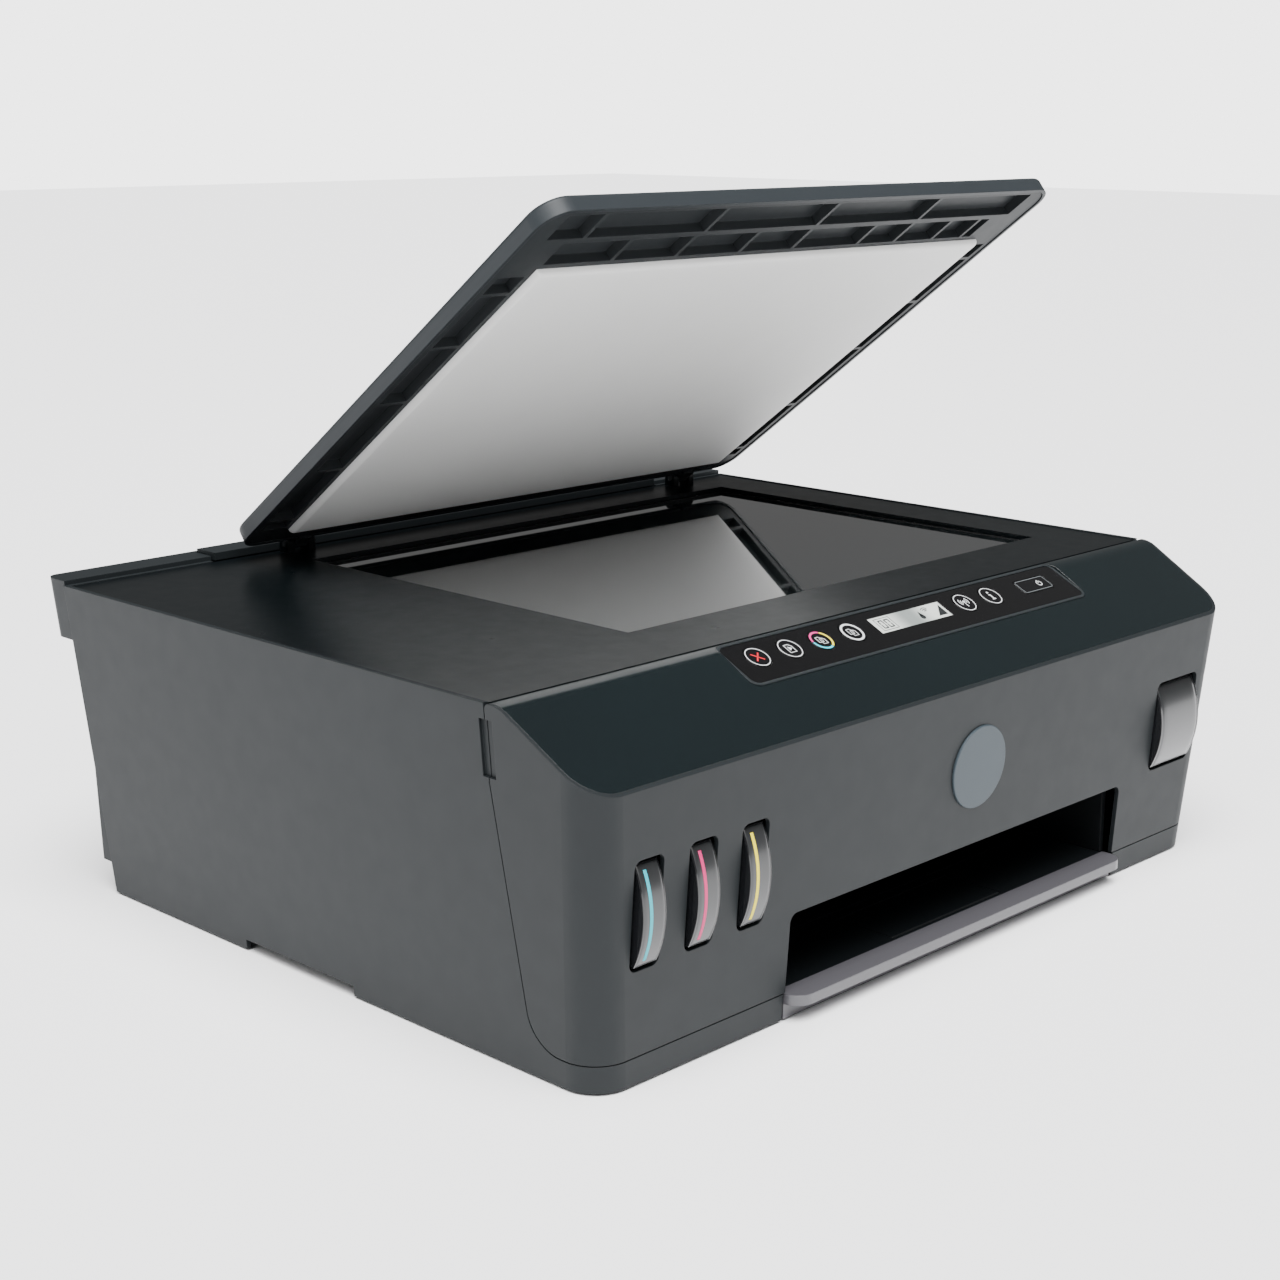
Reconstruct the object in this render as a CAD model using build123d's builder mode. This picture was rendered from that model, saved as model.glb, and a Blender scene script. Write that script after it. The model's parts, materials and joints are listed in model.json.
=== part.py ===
"""Flatbed ink-tank printer with its scanner lid raised, as separate named pieces.

Frame: +X right seen from the front, +Y back, +Z up, millimetres.  The origin is the middle of
the footprint on the surface that the printer stands on.
"""
from build123d import *
from math import atan2, cos, degrees, pi, radians, sin, sqrt, tan
import os

os.makedirs("parts", exist_ok=True)

# ---- driving dimensions -----------------------------------------------------------------
body_width = 449.0          # across the sides at deck height
body_depth = 359.0          # front edge of the fascia to the back of the rear hood
deck_height = 150.0         # top of the grey body
fascia_edge_height = 122.0  # where the upright front meets the sloping fascia
side_draft = 12.3           # how far each side leans in at the floor
front_draft = 8.3           # how far the front leans in at the floor
rear_draft = 11.0           # how far the rear leans in at the floor
hood_overhang = 15.8        # rear hood behind the rear wall, at the top
front_corner = 16.0         # radius of the upright front corners
rear_corner = 8.0
wall = 2.4                  # casing wall
door_wall = 2.2
foot_height = 2.0
casing_bottom = 1.0

glass_width = 297.0
glass_depth = 216.0
glass_centre_x = 42.3
glass_centre_y = 24.3
glass_thickness = 2.8

lid_open_angle = 37.0       # how far the lid stands open as modelled

piece_gap = 0.3             # between still pieces that sit side by side
seam_gap = 0.5              # between a moving cover and what it closes against
running_gap = 0.06          # radial clearance of a shaft in its bore

# ---- body form, worked out from the above -------------------------------------------------
front_y = -body_depth / 2
rear_y = body_depth / 2
rear_wall_y = rear_y - hood_overhang
slot_middle_x = 17.3        # middle of the paper path, control panel and output opening


def half_width(height):
    """Half the body's width at a height."""
    return body_width / 2 - side_draft * (1 - height / deck_height)


def front_at(height):
    """Front face's Y at a height."""
    return front_y + front_draft * (1 - height / fascia_edge_height)


def rear_at(height):
    """Rear wall's Y at a height."""
    return rear_wall_y - rear_draft * (1 - height / deck_height)


def block(x, y, z, mode=Mode.ADD):
    """A box between the pairs of limits x, y and z, in the part being built."""
    with Locations(((x[0] + x[1]) / 2, (y[0] + y[1]) / 2, (z[0] + z[1]) / 2)):
        Box(x[1] - x[0], y[1] - y[0], z[1] - z[0], mode=mode)


def rod(radius, x, y, z, mode=Mode.ADD):
    """A cylinder along X between the limits x, about the line at y and z."""
    with Locations(((x[0] + x[1]) / 2, y, z)):
        Cylinder(radius, x[1] - x[0], rotation=(0, 90, 0), mode=mode)


def post(radius, x, y, z, mode=Mode.ADD):
    """An upright cylinder at x and y, between the limits z."""
    with Locations((x, y, (z[0] + z[1]) / 2)):
        Cylinder(radius, z[1] - z[0], mode=mode)


def body_form(low, high, inset):
    """The body's drafted outer form between two heights, pulled in by inset on all four sides."""
    with BuildPart() as form:
        for height in (low, high):
            front = front_at(height) + inset
            rear = rear_at(height) - inset
            with BuildSketch(Plane.XY.offset(height)):
                with Locations((0, (front + rear) / 2)):
                    Rectangle(2 * (half_width(height) - inset), rear - front)
                corners = vertices().group_by(Axis.Y)
                fillet(corners[0], max(front_corner - inset, 1))
                fillet(corners[-1], max(rear_corner - inset, 1))
        loft()
    return form.part


def write(piece, name):
    """Label a finished piece and write its STEP file."""
    piece.part.label = name
    export_step(piece.part, f"parts/{name}.step")


# ---- front door line, hinge and fascia slope ----------------------------------------------
deck_seam_y = front_y + 54.7        # middle of the gap between deck and door
nose_radius = 2.6                   # rounded rear edge of the door, about its hinge
door_rear_y = deck_seam_y - seam_gap / 2
deck_front_y = deck_seam_y + seam_gap / 2
door_axis_y = door_rear_y - nose_radius
door_axis_z = deck_height - nose_radius
crease_y = deck_seam_y - 6.9        # where the deck plane and the slope would meet
slope_angle = degrees(atan2(deck_height - fascia_edge_height, crease_y - front_y))
crease_radius = (door_axis_y - crease_y) / tan(radians(slope_angle / 2))
door_bottom = 13.0


def slope_height(y, depth=0.0):
    """Height of the sloping fascia surface at y, or of the surface depth below it."""
    return deck_height - (crease_y - y) * tan(radians(slope_angle)) - depth / cos(radians(slope_angle))


def above_top(depth):
    """All that lies above the deck and fascia surfaces sunk by depth."""
    crease = crease_y + depth * tan(radians(slope_angle / 2))
    front = front_y - 60
    with BuildPart() as region:
        with BuildSketch(Plane.YZ):
            with BuildLine():
                Polyline((front, slope_height(front, depth)), (crease, deck_height - depth),
                         (rear_y + 60, deck_height - depth), (rear_y + 60, deck_height + 90),
                         (front, deck_height + 90), close=True)
            make_face()
            turn = vertices().sort_by_distance((0, crease, deck_height - depth))[0]
            fillet(turn, crease_radius - depth)
        extrude(amount=body_width, both=True)
    return region.part


# ---- what the front holds: output opening, ink windows, control panel ----------------------
opening_width = 243.6
opening_top = 47.5
lip_seat = 4.2                      # depth of the tray lip's seat in the base
opening_left = slot_middle_x - opening_width / 2
opening_right = slot_middle_x + opening_width / 2
window_low = 49.0
window_high = 94.0
window_gap = 2.0                    # between a window's edge and the tank lens in it
colour_window_width = 16.0
colour_pitch = 30.0
first_colour_x = -190.0
black_window_width = 36.0
black_window_x = 182.0
lens_bulge = 4.2                    # how far a tank lens stands out of the door's face
lens_middle = (window_high + window_low) / 2
lens_front_y = front_at(lens_middle) - lens_bulge
hood_rear_y = -lens_front_y         # the hood reaches as far back as the lenses reach forward

fascia_thickness = 2.0
carrier_thickness = 2.0
rim_width = 1.6                     # grey rim left showing round the fascia

colour_names = ["cyan", "magenta", "yellow"]
windows = [(first_colour_x + colour_pitch * number, colour_window_width) for number in range(3)]
windows.append((black_window_x, black_window_width))

panel_angle = 26.5
panel_width = 240.5
panel_depth = 27.0
panel_corner = 5.0
panel_rim = 1.3
panel_gap = 0.2
panel_top_edge = 1.5                # from the deck seam down the slope to the panel's edge
panel_plane = Plane(
    origin=(slot_middle_x, deck_seam_y - 2.2, deck_height + 1.0),
    x_dir=(1, 0, 0),
    z_dir=(0, -sin(radians(panel_angle)), cos(radians(panel_angle))),
)
panel_middle = -(panel_top_edge + panel_depth / 2)


def panel_sketch(depth, spread):
    """The panel's rounded outline, spread outwards, on the plane depth below its face."""
    with BuildSketch(panel_plane.offset(-depth)) as outline:
        with Locations((0, panel_middle)):
            RectangleRounded(panel_width + 2 * spread, panel_depth + 2 * spread, panel_corner + spread)
    return outline.sketch


# ---- front door ---------------------------------------------------------------------------
door_seam_top_y = door_rear_y       # side seam between door and casing, from the deck down
door_seam_low_y = -136.0
door_seam_low_z = 30.0
door_seam_curve = 17.0


def door_side(shift):
    """The door's outline from the side, its rear and lower edges moved back and down by shift."""
    low = door_bottom - shift
    top = deck_height + 60
    with BuildPart() as region:
        with BuildSketch(Plane.YZ):
            with BuildLine():
                Polyline((door_seam_top_y + shift, top), (door_seam_top_y + shift, 118),
                         (door_seam_low_y + shift, door_seam_low_z), (door_seam_low_y - 2 + shift, low),
                         (front_y - 60, low), (front_y - 60, top), close=True)
            make_face()
            turn = vertices().sort_by_distance((0, door_seam_low_y - 2 + shift, low))[0]
            fillet(turn, door_seam_curve)
        extrude(amount=body_width, both=True)
    return region.part


grip_low = 120.5                    # finger recess across the side seam
grip_high = 143.5
grip_front_y = -128.7
grip_rear_y = -121.5
grip_depth = 1.3


def grip_cutter():
    """The finger recesses in both sides, as the solid that cuts them."""
    outer = body_form(grip_low, grip_high, -5)
    inner = body_form(grip_low, grip_high, grip_depth)
    with BuildPart() as cutter:
        add(outer)
        add(inner, mode=Mode.SUBTRACT)
        block((-body_width, body_width), (grip_front_y, grip_rear_y), (grip_low, grip_high), Mode.INTERSECT)
    return cutter.part


grip = grip_cutter()
outer_form = body_form(casing_bottom, deck_height + 10, 0)
casing_hollow = body_form(casing_bottom - 2, deck_height + 20, wall)
door_hollow = body_form(casing_bottom - 2, deck_height + 20, door_wall)
fascia_form = body_form(100, deck_height + 10, rim_width + 0.15)
above_surface = above_top(0)
above_fascia_seat = above_top(fascia_thickness)
above_carrier = above_top(fascia_thickness + carrier_thickness)
door_region = door_side(0)
door_space = door_side(seam_gap)


def nose_trim():
    """What lies behind the door's axis and outside its rounded nose."""
    with BuildPart() as trim:
        block((-body_width, body_width), (door_axis_y, rear_y), (door_axis_z, deck_height + 40))
        rod(nose_radius, (-body_width - 5, body_width + 5), door_axis_y, door_axis_z, Mode.SUBTRACT)
    return trim.part


def under_surface(form, region):
    """A form with the given region above a surface taken away."""
    with BuildPart() as result:
        add(form)
        add(region, mode=Mode.SUBTRACT)
    return result.part


nose_cutter = nose_trim()
door_inside = under_surface(door_hollow, above_carrier)
fascia_seat = under_surface(fascia_form,
                            under_surface(body_form(90, deck_height + 20, -5), above_fascia_seat))
lug_width = 5.0                     # deck lugs that carry the door, and their notches
lug_xs = (-208.0, 208.0)
lug_notch = lug_width + 1.0
lug_web = 1.6
lug_low = door_axis_z - nose_radius - 4.0
pin_radius = 1.2
pin_length = 13.0
board_depth = 8.6                   # control board's underside below the panel face
panel_seat_depth = 3.0

with BuildPart() as front_door:
    add(outer_form)
    add(door_region, mode=Mode.INTERSECT)
    add(above_surface, mode=Mode.SUBTRACT)
    add(door_inside, mode=Mode.SUBTRACT)
    add(fascia_seat, mode=Mode.SUBTRACT)
    add(nose_cutter, mode=Mode.SUBTRACT)
    add(grip, mode=Mode.SUBTRACT)
    # well for the control panel, right through the carrier
    add(extrude(panel_sketch(-6, panel_gap), amount=-(board_depth + 8), mode=Mode.PRIVATE),
        mode=Mode.SUBTRACT)
    # slots in front of the ink tanks
    for window_x, window_width in windows:
        with BuildSketch(Plane.XZ.offset(-front_at(window_low) - 20)):
            with Locations((window_x, (window_low + window_high) / 2)):
                RectangleRounded(window_width, window_high - window_low, 3.5)
        extrude(amount=60, both=True, mode=Mode.SUBTRACT)
    # output opening, open at the bottom
    with BuildSketch(Plane.XZ.offset(-front_y - 5)):
        with Locations((slot_middle_x, (opening_top + 0) / 2)):
            RectangleRounded(opening_width, opening_top, 4)
        with Locations((slot_middle_x, 8)):
            Rectangle(opening_width, 16)
    extrude(amount=40, both=True, mode=Mode.SUBTRACT)
    # notches round the deck's lugs, and bores for their pins
    for lug_x in lug_xs:
        block((lug_x - lug_notch / 2, lug_x + lug_notch / 2),
              (door_axis_y - nose_radius - 0.6, deck_front_y), (door_axis_z - 12,
               door_axis_z), Mode.SUBTRACT)
        rod(pin_radius + running_gap, (lug_x - pin_length / 2 - 0.5, lug_x + pin_length / 2 + 0.5),
            door_axis_y, door_axis_z, Mode.SUBTRACT)
write(front_door, "front_door")


# ---- fascia, badge and control panel ------------------------------------------------------
with BuildPart() as door_fascia:
    add(fascia_seat)
    add(above_surface, mode=Mode.SUBTRACT)
    add(door_region, mode=Mode.INTERSECT)
    add(nose_cutter, mode=Mode.SUBTRACT)
    add(extrude(panel_sketch(-6, panel_gap), amount=-(board_depth + 8), mode=Mode.PRIVATE),
        mode=Mode.SUBTRACT)
    for lug_x in lug_xs:
        block((lug_x - lug_notch / 2, lug_x + lug_notch / 2),
              (door_axis_y - nose_radius - 0.6, deck_front_y), (door_axis_z - 12,
               door_axis_z), Mode.SUBTRACT)
        rod(pin_radius + running_gap, (lug_x - pin_length / 2 - 0.5, lug_x + pin_length / 2 + 0.5),
            door_axis_y, door_axis_z, Mode.SUBTRACT)
write(door_fascia, "door_fascia")

badge_radius = 19.0
badge_x = 18.0
badge_height = 84.0
badge_thickness = 1.0
face_lean = degrees(atan2(front_draft, fascia_edge_height))
badge_plane = Plane(
    origin=(badge_x, front_at(badge_height), badge_height),
    x_dir=(1, 0, 0),
    z_dir=(0, -cos(radians(face_lean)), -sin(radians(face_lean))),
)
with BuildPart() as badge_disc:
    with BuildSketch(badge_plane):
        Circle(badge_radius)
    extrude(amount=badge_thickness)
    fillet(badge_disc.edges().sort_by(Axis.Y)[0], 0.4)
write(badge_disc, "badge_disc")

button_line = -12.8                 # button centres, down the slope from the deck seam
button_radius = 6.3
button_gap = 0.3
button_travel = 0.6
button_proud = 0.15
lens_sunk = 0.3
lens_thickness = 1.6
round_buttons = {
    "cancel_button": -103.3,
    "resume_button": -82.8,
    "color_copy_button": -62.3,
    "black_copy_button": -41.6,
    "wireless_button": 39.7,
    "info_button": 59.9,
}
power_x = 94.7
power_width = 23.5
power_depth = 9.5
lcd_x = -0.5
lcd_width = 51.0
lcd_depth = 10.6
stem_radius = 2.0
board_thickness = 1.6
stem_length = board_depth - board_thickness - button_travel - 0.5

with BuildPart() as panel_frame:
    extrude(panel_sketch(0, 0), amount=-panel_seat_depth)
    extrude(panel_sketch(-1, -panel_rim), amount=-(lens_sunk + lens_thickness + 1), mode=Mode.SUBTRACT)
    extrude(panel_sketch(-1, -panel_rim - 1.5), amount=-(panel_seat_depth + 2), mode=Mode.SUBTRACT)
write(panel_frame, "panel_frame")

with BuildPart() as panel_lens:
    extrude(panel_sketch(lens_sunk, -panel_rim - 0.1), amount=-lens_thickness)
    with BuildSketch(panel_plane):
        for button_x in round_buttons.values():
            with Locations((button_x, button_line)):
                Circle(button_radius + button_gap)
        with Locations((power_x, button_line)):
            RectangleRounded(power_width + 2 * button_gap, power_depth + 2 * button_gap, 1.8)
        with Locations((lcd_x, button_line)):
            Rectangle(lcd_width, lcd_depth)
    extrude(amount=-10, mode=Mode.SUBTRACT)
write(panel_lens, "panel_lens")

with BuildPart() as lcd_module:
    with BuildSketch(panel_plane.offset(-lens_sunk - lens_thickness - 0.2)):
        with Locations((lcd_x, button_line)):
            Rectangle(lcd_width + 4, lcd_depth + 6)
    extrude(amount=-(board_depth - board_thickness - lens_sunk - lens_thickness - 0.3))
write(lcd_module, "lcd_module")

with BuildPart() as panel_board:
    with BuildSketch(panel_plane.offset(-board_depth)):
        with Locations((0, panel_middle - 0.5)):
            Rectangle(panel_width - 8, panel_depth - 6)
    extrude(amount=board_thickness)
    # switch bodies under the buttons
    with BuildSketch(panel_plane.offset(-board_depth + board_thickness)):
        for switch_x in list(round_buttons.values()) + [power_x]:
            with Locations((switch_x, button_line)):
                Circle(2.6)
    extrude(amount=0.4)
write(panel_board, "panel_board")

for button_name, button_x in round_buttons.items():
    with BuildPart() as button:
        with BuildSketch(panel_plane.offset(-lens_sunk + button_proud)):
            with Locations((button_x, button_line)):
                Circle(button_radius)
        extrude(amount=-lens_thickness)
        with BuildSketch(panel_plane.offset(-lens_sunk)):
            with Locations((button_x, button_line)):
                Circle(stem_radius)
        extrude(amount=-(stem_length - lens_sunk))
    write(button, button_name)

with BuildPart() as power_button:
    with BuildSketch(panel_plane.offset(-lens_sunk + button_proud)):
        with Locations((power_x, button_line)):
            RectangleRounded(power_width, power_depth, 1.5)
    extrude(amount=-lens_thickness)
    with BuildSketch(panel_plane.offset(-lens_sunk)):
        with Locations((power_x, button_line)):
            Circle(stem_radius)
    extrude(amount=-(stem_length - lens_sunk))
write(power_button, "power_button")


# ---- casing, floor pan, feet ---------------------------------------------------------------
notch_front_y = -27.0               # hand-hold under each side
notch_rear_y = 48.5
notch_height = 5.5
usb_x = 150.0
usb_z = 40.0
usb_width = 12.0
usb_height = 11.0
cover_left = -212.0                 # rear power cover
cover_right = -60.0
cover_low = 15.0
cover_high = 83.0
cover_depth = 9.0
inlet_x = -160.0
inlet_z = 42.0
inlet_width = 24.0
inlet_height = 12.0
support_left = -142.0               # rear paper support
support_right = 165.0
support_lean = 22.0
support_thickness = 2.6
support_height = 100.0
support_top_y = rear_y - 11.0
hood_top = deck_height + 2.0
hood_bottom = deck_height - 26.0

feed_plane = Plane(
    origin=(0, support_top_y, hood_top),
    x_dir=(1, 0, 0),
    z_dir=(0, sin(radians(support_lean)), cos(radians(support_lean))),
)

with BuildPart() as main_casing:
    add(outer_form)
    add(casing_hollow, mode=Mode.SUBTRACT)
    block((-body_width, body_width), (-body_depth, body_depth), (deck_height, deck_height + 40),
          Mode.SUBTRACT)
    add(door_space, mode=Mode.SUBTRACT)
    add(grip, mode=Mode.SUBTRACT)
    # gap in the front band for the output tray
    block((opening_left - 1, opening_right + 1), (front_y - 20, front_y + 30), (-5, door_bottom),
          Mode.SUBTRACT)
    # hand-holds
    block((-body_width, body_width), (notch_front_y, notch_rear_y), (-5, notch_height), Mode.SUBTRACT)
    # socket openings in the rear wall
    block((usb_x - usb_width / 2 - 1, usb_x + usb_width / 2 + 1), (120, rear_y + 5),
          (usb_z - usb_height / 2 - 1, usb_z + usb_height / 2 + 1), Mode.SUBTRACT)
    block((inlet_x - inlet_width / 2 - 6, inlet_x + inlet_width / 2 + 6), (120, rear_y + 5),
          (inlet_z - inlet_height / 2 - 6, inlet_z + inlet_height / 2 + 6), Mode.SUBTRACT)
    # mouth of the rear paper feed, behind the hood
    block((support_left - 2, support_right + 2), (140, rear_y + 5), (hood_bottom + 1, deck_height + 5),
          Mode.SUBTRACT)
write(main_casing, "main_casing")

pan_thickness = 2.5
pan_outline = body_form(foot_height, foot_height + 8, wall + piece_gap)
with BuildPart() as base_pan:
    add(pan_outline)
    add(body_form(foot_height + pan_thickness, foot_height + 9, wall + piece_gap + 2), mode=Mode.SUBTRACT)
    block((opening_left - 2, opening_right + 2), (front_y - 20, front_y + 20),
          (foot_height + 1, foot_height + 9), Mode.SUBTRACT)
    # seat of the tray's lip in the front edge
    block((opening_left - 0.3, opening_right + 0.3), (front_y - 20, front_at(0) + lip_seat + piece_gap),
          (-5, foot_height + 9), Mode.SUBTRACT)
    block((-body_width, -half_width(0) + 12), (notch_front_y - 1, notch_rear_y + 1),
          (-5, notch_height + 0.5), Mode.SUBTRACT)
    block((half_width(0) - 12, body_width), (notch_front_y - 1, notch_rear_y + 1),
          (-5, notch_height + 0.5), Mode.SUBTRACT)
write(base_pan, "base_pan")

foot_radius = 8.0
foot_x = 185.0
foot_front_y = -150.0
foot_rear_y = 130.0
with BuildPart() as rubber_feet:
    for x in (-foot_x, foot_x):
        for y in (foot_front_y, foot_rear_y):
            post(foot_radius, x, y, (0, foot_height))
write(rubber_feet, "rubber_feet")


# ---- rear hood, power cover, paper support -------------------------------------------------
with BuildPart() as rear_hood:
    with BuildSketch(Plane.XY.offset(hood_bottom)):
        with Locations((0, (rear_at(hood_bottom) + hood_rear_y - 3) / 2)):
            Rectangle(2 * half_width(hood_bottom) - 1, hood_rear_y - 3 - rear_at(hood_bottom))
        fillet(vertices().group_by(Axis.Y)[-1], 6)
    with BuildSketch(Plane.XY.offset(hood_top)):
        with Locations((0, (rear_wall_y + piece_gap + hood_rear_y) / 2)):
            Rectangle(2 * half_width(hood_top) - 2, hood_rear_y - rear_wall_y - piece_gap)
        fillet(vertices().group_by(Axis.Y)[-1], 6)
    loft()
    add(body_form(hood_bottom - 10, hood_top + 10, -piece_gap), mode=Mode.SUBTRACT)
    # slot that the paper support slides in
    with BuildSketch(feed_plane.offset(8)):
        with Locations(((support_left + support_right) / 2, 0)):
            Rectangle(support_right - support_left + 1, support_thickness + 2)
    extrude(amount=-60, mode=Mode.SUBTRACT)
    # seat of the support's top lip
    block((support_left - 0.5, support_right + 0.5), (150, hood_rear_y - 2.5),
          (hood_top - 2.5, hood_top + 5), Mode.SUBTRACT)
    # room in front of the support for paper and its guides
    block((support_left + 20, support_right - 10), (150, support_top_y - 2),
          (hood_bottom - 5, hood_top + 5), Mode.SUBTRACT)
write(rear_hood, "rear_hood")

with BuildPart() as rear_cover:
    add(body_form(cover_low, cover_high, -cover_depth))
    add(body_form(cover_low - 1, cover_high + 1, -piece_gap), mode=Mode.SUBTRACT)
    block((cover_left, cover_right), (100, rear_y + 10), (cover_low, cover_high), Mode.INTERSECT)
    # hollow, open towards the machine
    block((cover_left + 2, cover_right - 2), (100, rear_at(cover_low) + cover_depth - 2.5),
          (cover_low + 2, cover_high - 2), Mode.SUBTRACT)
    block((inlet_x - inlet_width / 2 - piece_gap, inlet_x + inlet_width / 2 + piece_gap),
          (100, rear_y + 10),
          (inlet_z - inlet_height / 2 - piece_gap, inlet_z + inlet_height / 2 + piece_gap), Mode.SUBTRACT)
write(rear_cover, "rear_cover")

lip_proud = 1.8
lip_depth = 15.0
with BuildPart() as paper_support:
    with BuildSketch(feed_plane.offset(-1)):
        with Locations(((support_left + support_right) / 2, 0)):
            Rectangle(support_right - support_left - 4, support_thickness)
    extrude(amount=-(support_height - 1))
    block((support_left, support_right), (hood_rear_y - 3.5 - lip_depth, hood_rear_y - 3.5),
          (hood_top - 2.0, hood_top + lip_proud))
write(paper_support, "paper_support")

guide_left_x = slot_middle_x - 109.5
guide_right_x = slot_middle_x + 109.5
for guide_name, guide_x in (("paper_guide_left", guide_left_x), ("paper_guide_right", guide_right_x)):
    with BuildPart() as guide:
        with BuildSketch(feed_plane.offset(-14)):
            with Locations((guide_x, -4.5)):
                Rectangle(2.5, 5.0)
        extrude(amount=-40)
    write(guide, guide_name)


# ---- scanner: deck frame, glass, pan, sensor bar -------------------------------------------
deck_sunk = 0.4
deck_top = deck_height - deck_sunk
deck_plate = 2.5
deck_skirt_low = 134.0
deck_rear_y = 161.0
deck_outline = body_form(deck_skirt_low, deck_top, wall + piece_gap)
lid_axis_y = rear_y - 23.9
lid_axis_z = deck_height + 4.3
ear_xs = (-97.0, 180.0)
ear_radius = 3.6
arm_width = 8.0
ear_width = 4.0
axle_radius = 1.6

with BuildPart() as scanner_deck:
    add(deck_outline)
    add(body_form(deck_skirt_low - 1, deck_top - deck_plate, wall + piece_gap + 2), mode=Mode.SUBTRACT)
    block((-body_width, body_width), (-body_depth, deck_front_y), (0, deck_height + 20), Mode.SUBTRACT)
    block((-body_width, body_width), (deck_rear_y, body_depth), (0, deck_height + 20), Mode.SUBTRACT)
    # opening over the glass
    block((glass_centre_x - glass_width / 2, glass_centre_x + glass_width / 2),
          (glass_centre_y - glass_depth / 2, glass_centre_y + glass_depth / 2),
          (deck_skirt_low - 5, deck_height + 5), Mode.SUBTRACT)
    # front skirt, behind the door's rounded rear edge
    block((-half_width(deck_skirt_low) + wall + 1, half_width(deck_skirt_low) - wall - 1),
          (deck_front_y, deck_front_y + 2), (deck_skirt_low, deck_top))
    # clear of the paper guides at the back
    block((support_left, support_right), (150, deck_rear_y + 1),
          (deck_skirt_low - 1, deck_top - deck_plate), Mode.SUBTRACT)
    # lugs that come up under the door's rounded edge, and the pins that carry it
    for lug_x in lug_xs:
        block((lug_x - lug_width / 2, lug_x + lug_width / 2), (door_axis_y - lug_web / 2, deck_front_y + 1),
              (lug_low, door_axis_z - nose_radius - seam_gap))
        block((lug_x - lug_width / 2, lug_x + lug_width / 2),
              (door_axis_y - lug_web / 2, door_axis_y + lug_web / 2), (lug_low, door_axis_z))
        rod(pin_radius, (lug_x - pin_length / 2, lug_x + pin_length / 2), door_axis_y, door_axis_z)
    # ears that carry the lid
    for ear_x in ear_xs:
        for side in (-1, 1):
            inner = ear_x + side * (arm_width / 2 + piece_gap)
            outer = inner + side * ear_width
            limits = (min(inner, outer), max(inner, outer))
            rod(ear_radius, limits, lid_axis_y, lid_axis_z)
            block(limits, (lid_axis_y - ear_radius, lid_axis_y + ear_radius), (deck_top - 1, lid_axis_z))
            rod(axle_radius + running_gap, (limits[0] - 1, limits[1] + 1), lid_axis_y, lid_axis_z,
                Mode.SUBTRACT)
write(scanner_deck, "scanner_deck")

glass_seat = 6.0                    # glass hidden under the deck's frame, each side
glass_top = deck_top - deck_plate - 0.1
with BuildPart() as scanner_glass:
    block((glass_centre_x - glass_width / 2 - glass_seat, glass_centre_x + glass_width / 2 + glass_seat),
          (glass_centre_y - glass_depth / 2 - glass_seat, glass_centre_y + glass_depth / 2 + glass_seat),
          (glass_top - glass_thickness, glass_top))
write(scanner_glass, "scanner_glass")

scan_pan_low = 126.0
scan_pan_wall = 2.0
scan_left = glass_centre_x - glass_width / 2 - 14
scan_right = glass_centre_x + glass_width / 2 + 12
scan_front = glass_centre_y - glass_depth / 2 - 8
scan_rear = glass_centre_y + glass_depth / 2 + 8
rack_width = 6.0
with BuildPart() as scanner_pan:
    block((scan_left, scan_right), (scan_front, scan_rear),
          (scan_pan_low, glass_top - glass_thickness - 0.1))
    block((scan_left + scan_pan_wall, scan_right - scan_pan_wall),
          (scan_front + scan_pan_wall, scan_rear - scan_pan_wall),
          (scan_pan_low + scan_pan_wall, glass_top), Mode.SUBTRACT)
    # rail that the sensor bar slides on
    block((scan_left + 1, scan_right - 1),
          (glass_centre_y - rack_width / 2, glass_centre_y + rack_width / 2),
          (scan_pan_low + 1, scan_pan_low + 5))
write(scanner_pan, "scanner_pan")

bar_width = 16.0
bar_start_x = scan_left + scan_pan_wall + 2
with BuildPart() as cis_bar:
    block((bar_start_x, bar_start_x + bar_width),
          (scan_front + scan_pan_wall + 1, scan_rear - scan_pan_wall - 1),
          (scan_pan_low + 6, glass_top - glass_thickness - 0.5))
    # shoe that straddles the rail, and the drive motor's box beside it
    block((bar_start_x, bar_start_x + bar_width), (glass_centre_y - 8, glass_centre_y + 8),
          (scan_pan_low + 2.5, scan_pan_low + 8))
    block((bar_start_x - 1, bar_start_x + bar_width + 1),
          (glass_centre_y - rack_width / 2 - 0.4, glass_centre_y + rack_width / 2 + 0.4),
          (scan_pan_low, scan_pan_low + 5.4), Mode.SUBTRACT)
write(cis_bar, "cis_bar")


# ---- lid, in a frame that lies along the open lid ------------------------------------------
# local x is the printer's X, local -y runs from the hinge to the lid's free edge, z is its top side
lid_left = -137.0
lid_right = 216.0
lid_front = 283.5                   # free edge from the hinge axis
lid_rear = 5.0
lid_rim = -1.0                      # skirt's lower edge, from the hinge axis
lid_top = 7.2
lid_wall = 2.0
lid_front_corner = 14.0
lid_rear_corner = 12.0
pad_low = -4.0
pad_thickness = 3.5
pad_left = -112.7
pad_right = 197.0
pad_rear = 17.0
pad_front = 240.2
margin_depth = 4.6                  # depth of the troughs round the pad
lid_plane = Plane(
    origin=(0, lid_axis_y, lid_axis_z),
    x_dir=(1, 0, 0),
    z_dir=(0, sin(radians(lid_open_angle)), cos(radians(lid_open_angle))),
)


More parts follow.
